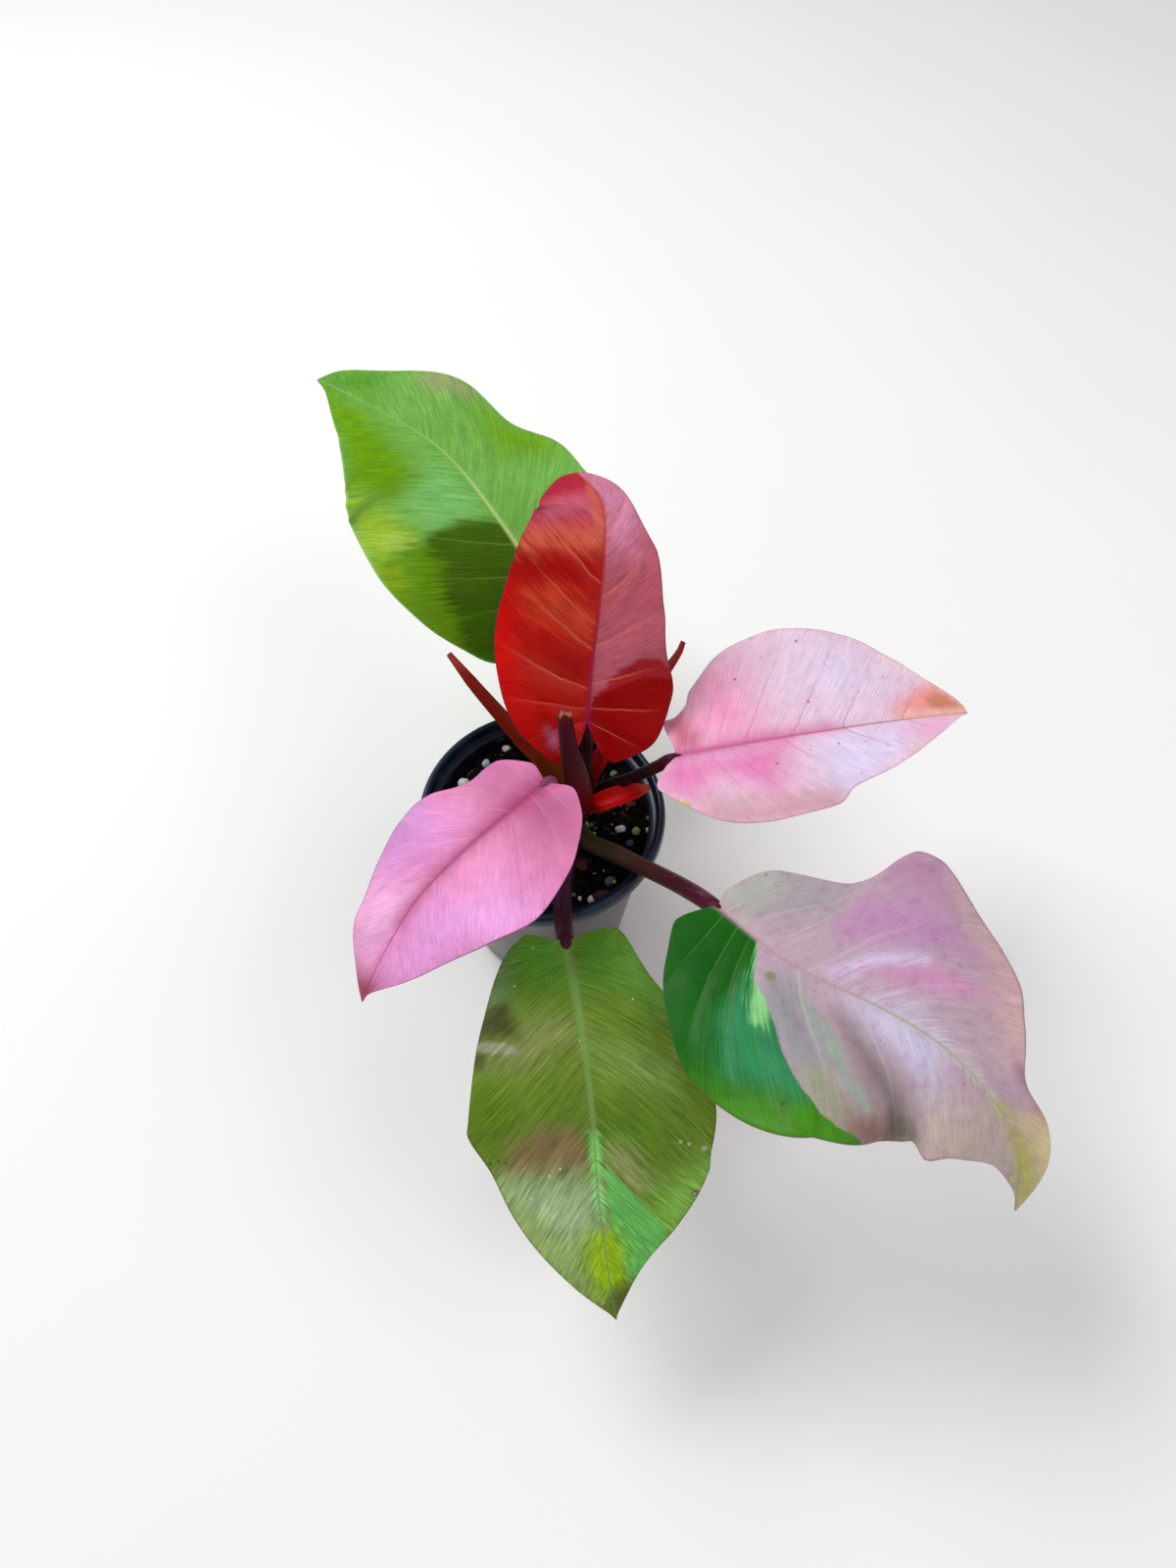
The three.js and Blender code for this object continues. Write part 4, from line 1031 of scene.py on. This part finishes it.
# Looks of the leaves, one by one. A zone is its colour, the width of its soft edge and of its
# feathering in mm, its strength, its side of the midrib if it keeps to one, and its outline as
# x, y, x, y in the flat leaf, where x runs along the midrib from the stalk and y is to the left.
# Veins are a colour, a strength and a sharpness; rib and edge have their width third.
# Dots are their places, a radius and a colour.
LOOKS = {
    "back": dict(
        # the base colour, left along the middle between the green zones, is partly the leaf's own green and
        # partly painted sheen
        base=(112, 172, 74), under=(120, 170, 80), rough=0.34, streaks=0.5, hair=0.5, shine=0.12,
        veins=((126, 176, 60), 0.3, 60.0), rib=((196, 218, 140), 0.85, 2.0, (140, 190, 100)),
        edge=((176, 206, 120), 0.5, 0.015),
        zones={
            # painted sheen: a pale bluish green reflection over the middle of the blade
            "painted_bluish_reflection": ((125, 194, 114), 13, 5.6, 0.7, "", [95, 12, 70, 2, 62, 8, 60, 30, 72, 34, 92, 22]),
            "left_green": ((103, 155, 2), 10.2, 7.2, 1.0, "", [
                160, 2, 137, 4, 115, 15, 92, 19, 88, 36, 114, 49, 142, 24, 158, 12]),
            "right_green": ((106, 158, 2), 11.6, 5.6, 1.0, "", [
                100, -30, 89, -33, 77, -46, 68, -40, 79, -21, 92, -23]),
            "tip": ((79, 143, 20), 13, 3.2, 0.9, "", [168, 0, 160, -12, 143, -19, 139, -6, 155, 0]),
            "yellow_edge": ((154, 184, 20), 13, 7.2, 0.9, "", [
                113, 51, 98, 49, 70, 41, 50, 58, 35, 59, 46, 65, 78, 61]),
            # painted shadow: the darker olive over the base half left of the midrib, with a sharp upper edge
            "dark": ((64, 98, 2), 3.4, 6.4, 1.0, "L", [
                61, 34, 59, 17, 55, 4, 50, -2, 10, -2, -8, 20, -8, 40, 8, 52, 29, 56, 52, 46]),
            "base_dark": ((40, 84, 4), 17.4, 6.4, 0.8, "L", [22, 2, -8, 14, -12, 40, 4, 44, 20, 24]),
            "low_left": ((98, 144, 2), 5, 8, 0.9, "L", [
                66, 38, 58, 62, 40, 67, 16, 63, 0, 50, 20, 46, 46, 38]),
            # painted highlights: pale yellow streaks of reflected light on the left half
            "painted_highlight": ((172, 196, 84), 4, 14, 0.6, "L", [70, 48, 62, 40, 55, 50, 60, 57, 70, 54]),
            "painted_highlight_low": ((164, 180, 35), 5.8, 11.2, 0.5, "L", [52, 54, 45, 56, 46, 61, 52, 60]),
            "pinkish": ((157, 157, 113), 7.2, 3.2, 0.85, "", [
                127, -28, 117, -36, 106, -38, 105, -31, 114, -27, 122, -24]),
        }),
    "red": dict(
        base=(188, 18, 10), under=(150, 30, 40), rough=0.3, streaks=0.45, hair=0.4, coat=0.03, shine=0.1,
        veins=((226, 120, 96), 0.6, 90.0), rib=((172, 34, 74), 0.95, 1.7, (190, 60, 50)),
        edge=((132, 30, 70), 0.8, 0.02), vein_from=0.3,
        zones={
            "left_edge": ((206, 8, 4), 5.8, 2.4, 0.9, "L", [
                60, 44, 60, 33, 37, 33, 23, 30, -3, 20, -12, 20, 0, 36, 19, 42]),
            "dark_mid": ((169, 3, 2), 8.7, 5.6, 0.8, "L", [70, 33, 68, 5, 54, 3, 60, 20, 57, 33]),
            "dark_low": ((154, 3, 2), 8.7, 4.8, 0.7, "L", [36, 22, 30, 3, 20, 2, 22, 18, 30, 26]),
            # painted highlights: orange-pink patches of reflected light over the deep red of the left half
            "painted_highlight1": ((218, 107, 78), 7.2, 9.6, 0.8, "L", [79, 33, 81, 21, 84, 1, 75, 2, 73, 24, 70, 34]),
            "painted_highlight2": ((209, 72, 42), 7.2, 8.8, 0.8, "L", [
                53, 30, 57, 20, 50, 4, 45, 1, 36, 2, 40, 12, 45, 26]),
            "painted_highlight3": ((185, 41, 22), 7.2, 7.2, 0.6, "L", [32, 32, 27, 19, 16, 3, 12, 6, 20, 23, 28, 32]),
            # painted sheen: a mauve pink reflection near the tip of the left half
            "top": ((195, 92, 119), 8.7, 4.8, 0.9, "L", [82, 30, 106, 22, 100, 1, 86, 0, 83, 15]),
            "tip": ((172, 31, 58), 5.8, 2.4, 0.95, "L", [118, 16, 114, -1, 103, 2, 100, 24, 92, 32, 108, 28]),
            "orange": ((209, 99, 84), 2, 2, 0.8, "L", [106, 0, 76, 0, 76, 4, 98, 6]),
            # painted highlight: a whitish purple reflection near the base of the left half
            "shine": ((190, 120, 160), 3.6, 2.4, 0.7, "L", [-1, 17, -3, 12, -9, 12, -7, 16]),
            "right": ((178, 84, 98), 0.5, 0, 1.0, "R", [-30, 0, 130, 0, 130, -60, -30, -60]),
            "right_top": ((200, 125, 161), 13, 5.6, 0.9, "R", [118, 0, 72, 0, 74, -12, 88, -16, 112, -8]),
            "right_low": ((192, 95, 113), 11.6, 5.6, 0.8, "R", [42, 0, 16, 0, 30, -20, 46, -30, 52, -22]),
            "band": ((164, 31, 40), 1.2, 4, 1.0, "R", [
                13, -2, 24, -12, 33, -20, 35, -27, 33, -33, 38, -44, 20, -44, 20, -20]),
            "deep": ((146, 2, 2), 0.8, 1.5, 1.0, "R", [
                13, -2, 19, -12, 25, -22, 27, -34, 26, -46, -30, -46, -30, -8, -3, 2]),
        }),
    "pink": dict(
        base=(232, 194, 216), under=(226, 170, 196), rough=0.46, streaks=0.22, hair=0.26, shine=0.25,
        veins=((198, 104, 150), 0.55, 160.0), rib=((200, 100, 146), 0.9, 1.7, (190, 124, 100)),
        edge=((232, 150, 160), 0.5, 0.02), groove=0.15,
        zones={
            "pale_up": ((233, 215, 242), 17.4, 4, 0.8, "L", [
                63, 47, 94, 42, 113, 26, 102, 13, 72, 4, 53, 19]),
            "base_up": ((252, 154, 197), 15.9, 6.4, 0.85, "L", [4, 16, 18, 38, 32, 36, 36, 2, 2, 1]),
            "lobe": ((197, 81, 108), 5.8, 4, 0.85, "L", [-3, 15, 4, 18, 11, 7, 9, 1, 0, 2]),
            "rim_up": ((250, 216, 226), 5.8, 2.4, 0.6, "L", [96, 44, 129, 22, 136, 2, 124, 16, 106, 31]),
            "tip": ((250, 148, 132), 5.8, 4.8, 0.85, "L", [100, 8, 126, 17, 136, 2, 133, 0, 116, 1, 98, 4]),
            "brown": ((195, 123, 80), 4.3, 3.2, 0.75, "L", [118, 9, 127, 13, 137, 1, 131, 1, 118, 4]),
            "gold": ((244, 186, 168), 2, 2, 0.8, "", [98, 4, 134, 3, 137, 0, 112, -1, 94, 1]),
            "blue": ((224, 217, 252), 15.9, 4.8, 0.85, "R", [
                64, -3, 99, -2, 88, -21, 66, -30, 55, -30, 54, -13]),
            "low_base": ((225, 115, 178), 11.6, 6.4, 0.9, "R", [
                -10, -8, -2, -2, 24, -4, 46, -2, 32, -27, 15, -14, 2, -24, -6, -20]),
            "low_margin": ((198, 143, 153), 8.7, 4.8, 0.8, "R", [
                9, -24, 27, -30, 54, -31, 53, -40, 32, -44, 15, -40, 4, -32]),
            "peach_low": ((252, 206, 200), 5.8, 3.2, 0.7, "R", [
                82, -25, 93, -18, 117, -10, 109, -15, 87, -25]),
            "pink_low": ((252, 177, 228), 7.2, 4, 0.75, "R", [95, -5, 122, -2, 126, -6, 107, -12]),
            "spot": ((196, 196, 60), 0.8, 1, 0.9, "R", [-5, -21.5, 2, -26.5, 1, -30, -6, -26]),
            "middle": ((214, 99, 163), 5.1, 3.2, 0.85, "", [0, -2.5, 34, -1, 70, 0, 67, 2, 35, 3, 1, 3]),
        },
        dots=[([65, 43, 32, 30, 60, 14, 65, -8, 36, -14], 0.75, (176, 84, 140)),
              ([85, 16, 93, 15, 77, -9, 84, -4, 85, -13, 32, -19, 68, -24, 87, -21, 20, -36, 47, 38,
                74, 30, 52, -9, 101, 22], 0.5, (196, 128, 178))]),
    "lilac": dict(
        base=(226, 132, 182), under=(206, 120, 170), rough=0.44, streaks=0.22, hair=0.3, shine=0.25,
        veins=((240, 172, 214), 0.25, 120.0), rib=((166, 70, 116), 0.85, 1.7, (190, 90, 130)),
        edge=((122, 54, 108), 0.85, 0.012), groove=0.1,
        zones={
            "lilac_left": ((234, 158, 226), 13, 4.8, 0.9, "R", [
                44, -32, 38, -11, 48, -5, 73, -14, 69, -24, 60, -28]),
            "far_left": ((204, 152, 216), 8.7, 3.2, 0.7, "R", [44, -36, 44, -24, 62, -22, 72, -24, 68, -32]),
            "tip_pink": ((252, 188, 235), 10.2, 4, 0.9, "R", [
                86, -22, 74, -16, 67, -3, 80, -1, 104, -3, 100, -9]),
            "low_right": ((241, 169, 236), 15.9, 4.8, 0.9, "L", [
                61, 5, 43, 19, 36, 40, 50, 40, 95, 18, 104, 2, 77, 5]),
            "warm": ((181, 91, 134), 13, 4.8, 0.85, "", [20, -10, 1, -4, -3, 16, 14, 29, 26, 14]),
            "top_lobe": ((206, 122, 170), 11.6, 4, 0.6, "R", [2, -6, 8, -22, 28, -22, 30, -8]),
            "glow": ((238, 137, 194), 11.6, 4.8, 0.7, "L", [51, 3, 43, 4, 49, 16, 59, 8]),
            "band": ((172, 60, 108), 5.8, 2.4, 0.85, "", [
                -2, -4, 18, -3, 44, -1.5, 80, -0.5, 80, 0.5, 30, 2, -2, 3]),
            "tip": ((141, 38, 33), 8.7, 2.4, 0.95, "", [107, -8, 105, 3, 112, 5, 120, 0]),
        },
        dots=[([23, -21.5], 1.0, (150, 110, 60))]),
    "front": dict(
        base=(101, 128, 38), under=(120, 130, 70), rough=0.38, streaks=0.5, hair=0.75, shine=0.12,
        veins=((150, 166, 80), 0.25, 90.0), rib=((124, 164, 84), 0.75, 2.3, (150, 160, 110)),
        edge=((60, 60, 24), 0.6, 0.012), groove=0.5,
        zones={
            "tan_l": ((136, 138, 88), 10.2, 7.2, 0.75, "", [37, -30, 32, -12, 36, -2, 46, -22, 44, -34]),
            "tan_r": ((132, 161, 89), 11.6, 7.2, 0.7, "", [43, 6, 44, 16, 54, 30, 59, 28, 50, 8]),
            "lobes": ((82, 147, 42), 13, 5.6, 1.0, "R", [-8, -16, -2, 1, 18, 1, 14, -20, 2, -26]),
            "lobes_r": ((70, 128, 29), 11.6, 5.6, 1.0, "L", [-3, 1, -5, 16, 6, 25, 21, 18, 20, 2]),
            # painted sheen: soft green and bluish grey reflections near the base lobes, one each side of the
            # midrib
            "painted_reflection_r": ((95, 150, 61), 7.2, 4.8, 0.7, "L", [8, 22, 11, 28, 31, 38, 36, 26, 19, 18]),
            "painted_reflection_l": ((109, 150, 92), 5.1, 3.2, 0.75, "R", [5, -28, 5, -22, 22, -25, 23, -33, 14, -34]),
            "brown_l": ((62, 66, 6), 4.5, 6, 1.0, "R", [22, -40, 21, -26, 34, -24, 33, -40]),
            "brown_l2": ((74, 76, 22), 2, 5, 0.85, "R", [37, -44, 38, -35, 44, -38, 43, -46]),
            "crease": ((150, 154, 134), 1.1, 1.2, 0.7, "R", [33, -42, 36, -28, 41, -23, 38, -38]),
            "green_l": ((88, 122, 17), 7.2, 4.8, 0.7, "R", [48, -44, 50, -34, 64, -30, 70, -42]),
            "dark_mid": ((77, 116, 26), 10.2, 6.4, 0.75, "", [62, -16, 64, 10, 72, 30, 80, 18, 76, -10]),
            "blotch": ((127, 107, 72), 5.1, 4.8, 0.95, "R", [
                84, -33, 74, -30, 68, -17, 73, -4, 83, -1, 87, -8, 86, -22]),
            "greyish": ((169, 191, 146), 8.7, 4, 0.9, "", [
                88, -33, 87, -8, 90, 1, 108, 1, 113, -11, 101, -26, 92, -34]),
            "light_low": ((168, 196, 119), 10.2, 4, 0.85, "R", [
                92, -36, 101, -26, 112, -8, 134, -6, 118, -24, 99, -36]),
            "brown_r": ((153, 157, 106), 7.2, 5.6, 0.8, "L", [78, 4, 80, 12, 93, 21, 95, 15, 86, 6]),
            "green_r": ((137, 195, 84), 11.6, 4, 0.85, "L", [98, 20, 84, 42, 97, 44, 116, 28, 112, 21]),
            "emerald": ((104, 187, 92), 1.5, 3, 0.95, "L", [
                85, 4, 93, 11, 112, 22, 120, 24, 136, 8, 128, 6, 116, 5, 104, 3]),
            "yellow": ((158, 198, 12), 5.8, 3.2, 0.95, "", [
                108, -6, 109, 5, 121, 6, 131, 5, 133, -5, 119, -7]),
            "fresh": ((132, 246, 129), 2, 2, 0.7, "", [
                72, -1.5, 88, -1.5, 104, -1, 104, 1, 88, 1.5, 72, 1.5]),
            "dark_tip": ((84, 70, 30), 5.1, 2.4, 0.85, "", [136, 2, 130, 9, 140, 9, 152, 1, 145, 0]),
        },
        dots=[([100, 35.5], 1.7, (112, 92, 78)),
              ([100.3, 35.2], 0.6, (196, 186, 170)),
              ([80, 39.5], 1.1, (176, 182, 160)),
              ([77, 31, 78, 34], 0.8, (170, 184, 130)),
              ([81, -38, 80, -35, 81, -32.5], 0.6, (70, 74, 40)),
              ([1, -13, 15, -22, 27, 21, 39, -1, 84, -13, 86, -17, 93, -24], 0.5, (206, 204, 180)),
              ([69, 33, 73, 26], 0.6, (90, 96, 40))]),
    "broad": dict(
        base=(187, 160, 175), under=(190, 176, 180), rough=0.4, streaks=0.25, hair=0.22, shine=0.15,
        mottle=((1.1, 1.1, 1.08), (0.92, 0.76, 0.86), 0.75), veins=((220, 196, 212), 0.3, 60.0),
        rib=((184, 150, 158), 0.7, 1.6, (170, 172, 130)), edge=((150, 110, 120), 0.45, 0.012), groove=0.2,
        zones={
            "grey_top": ((168, 178, 163), 7.2, 3.2, 0.85, "L", [-3, 3, -2, 15, 8, 30, 14, 20, 12, 2]),
            "grey_top2": ((160, 157, 160), 11.6, 4.8, 0.85, "L", [8, 30, 30, 46, 38, 28, 21, 12, 13, 9]),
            "top_lobe": ((175, 126, 160), 8.7, 5.6, 0.85, "L", [52, 55, 62, 68, 75, 62, 76, 51, 60, 44]),
            "peach": ((213, 171, 170), 13, 4.8, 0.85, "L", [
                78, 60, 91, 57, 110, 44, 124, 19, 111, 17, 92, 44]),
            "clouds": ((186, 132, 179), 8.7, 10.4, 0.85, "L", [
                43, 23, 51, 38, 66, 46, 81, 44, 92, 37, 84, 32, 67, 25, 47, 18]),
            "clouds2": ((212, 138, 188), 5.1, 6.4, 0.75, "L", [
                60, 12, 76, 22, 92, 27, 102, 28, 90, 19, 74, 11]),
            "white_band": ((213, 195, 229), 3.6, 2.4, 0.8, "L", [
                48, 4, 62, 18, 78, 27, 79, 24, 64, 14, 52, 2]),
            "centre": ((207, 200, 229), 11.6, 4.8, 0.9, "", [
                59, -4, 77, 4, 96, 0, 104, -17, 85, -15, 69, -9]),
            "peach2": ((192, 176, 163), 13, 4.8, 0.85, "", [
                103, -19, 124, -2, 148, -1, 148, -9, 118, -36, 106, -33]),
            # painted shadow: grey-brown shade along the fold right of the midrib
            "fold": ((113, 100, 94), 8.7, 4.8, 0.85, "R", [
                57, -9, 71, -14, 89, -20, 103, -30, 97, -36, 77, -30]),
            "border": ((138, 144, 148), 7.2, 4.8, 0.85, "R", [33, -10, 42, -5, 61, -27, 52, -35, 37, -19]),
            "low_left": ((148, 154, 122), 7.2, 5.6, 0.85, "R", [
                52, -35, 62, -28, 79, -37, 77, -46, 69, -48, 58, -43]),
            "pink_low": ((127, 90, 77), 5.8, 4.8, 0.85, "R", [76, -40, 85, -35, 102, -36, 87, -47, 76, -48]),
            "streak": ((144, 164, 149), 2, 6, 0.75, "R", [
                40, -5, 50, -10, 67, -23, 81, -35, 74, -35, 57, -24]),
            # painted shade: dark olive in the fold between the green part and the pale pink
            "painted_fold_shade": ((68, 74, 40), 5.8, 4, 0.8, "R", [91, -32, 102, -29, 110, -32, 99, -40]),
            "line": ((195, 199, 187), 1.5, 3, 0.5, "", [60, -1, 100, -2, 124, -1, 124, 2, 90, 2, 60, 1]),
            "mauve_rim": ((162, 108, 132), 3.6, 2.4, 0.85, "L", [
                120, 17, 130, 18, 140, 15, 135, 12, 123, 13]),
            "tip_warm": ((221, 202, 135), 8.7, 3.2, 0.85, "L", [135, 8, 140, 18, 148, 16, 158, 9, 146, 5]),
            "tip": ((183, 181, 80), 5.1, 3.2, 0.9, "", [122, 0, 134, 3, 146, 6, 158, 7, 172, 0, 148, -2]),
        },
        part=dict(
            base=(20, 98, 10), veins=((96, 152, 40), 0.5, 90.0),
            outline=[-40, -0.2, 21, -0.2, 25, -5, 31, -14, 36, -17, 42, -23, 47, -30, 52, -36, 58, -41,
                     67, -45, 73, -46, 84, -45, 88, -48, 92, -90, -40, -90],
            zones={
                "base_lobe": ((7, 84, 2), 11.6, 5.6, 0.8, "R", [-10, -4, 18, -2, 26, -20, 12, -40, -6, -26]),
                "bright": ((68, 139, 16), 10.2, 5.6, 0.95, "R", [
                    31, -62, 37, -50, 51, -44, 62, -40, 90, -42, 92, -60, 41, -66]),
                # painted sheen: a bluish green reflection over the green part
                "painted_reflection": ((44, 137, 85), 5.8, 6.4, 0.95, "R", [
                    30, -15, 42, -23, 51, -33, 62, -40, 50, -44, 37, -47, 31, -34]),
                "pale": ((138, 213, 136), 1.6, 4, 0.95, "R", [
                    22, -1, 26, -3, 36, -14, 38, -20, 40, -26, 37, -27, 31, -15]),
            }),
        dots=[([33.5, -8.5], 2.4, (128, 130, 92)),
              ([75, -11, 48, -5, 109, -5], 0.6, (176, 126, 150)),
              ([53, -47], 0.8, (44, 88, 40)),
              ([4, 22, 7, 27], 0.8, (140, 140, 130)),
              ([88, 30, 80, 36], 0.6, (190, 110, 160))]),
}


for name, look in LOOKS.items():
    zones = {key: spec[-1] for key, spec in look["zones"].items()}
    if "part" in look:
        zones.update({key: spec[-1] for key, spec in look["part"]["zones"].items()})
        zones["part"] = look["part"]["outline"]
    build_leaf(name, zones).data.materials.append(paint_leaf(name, look))
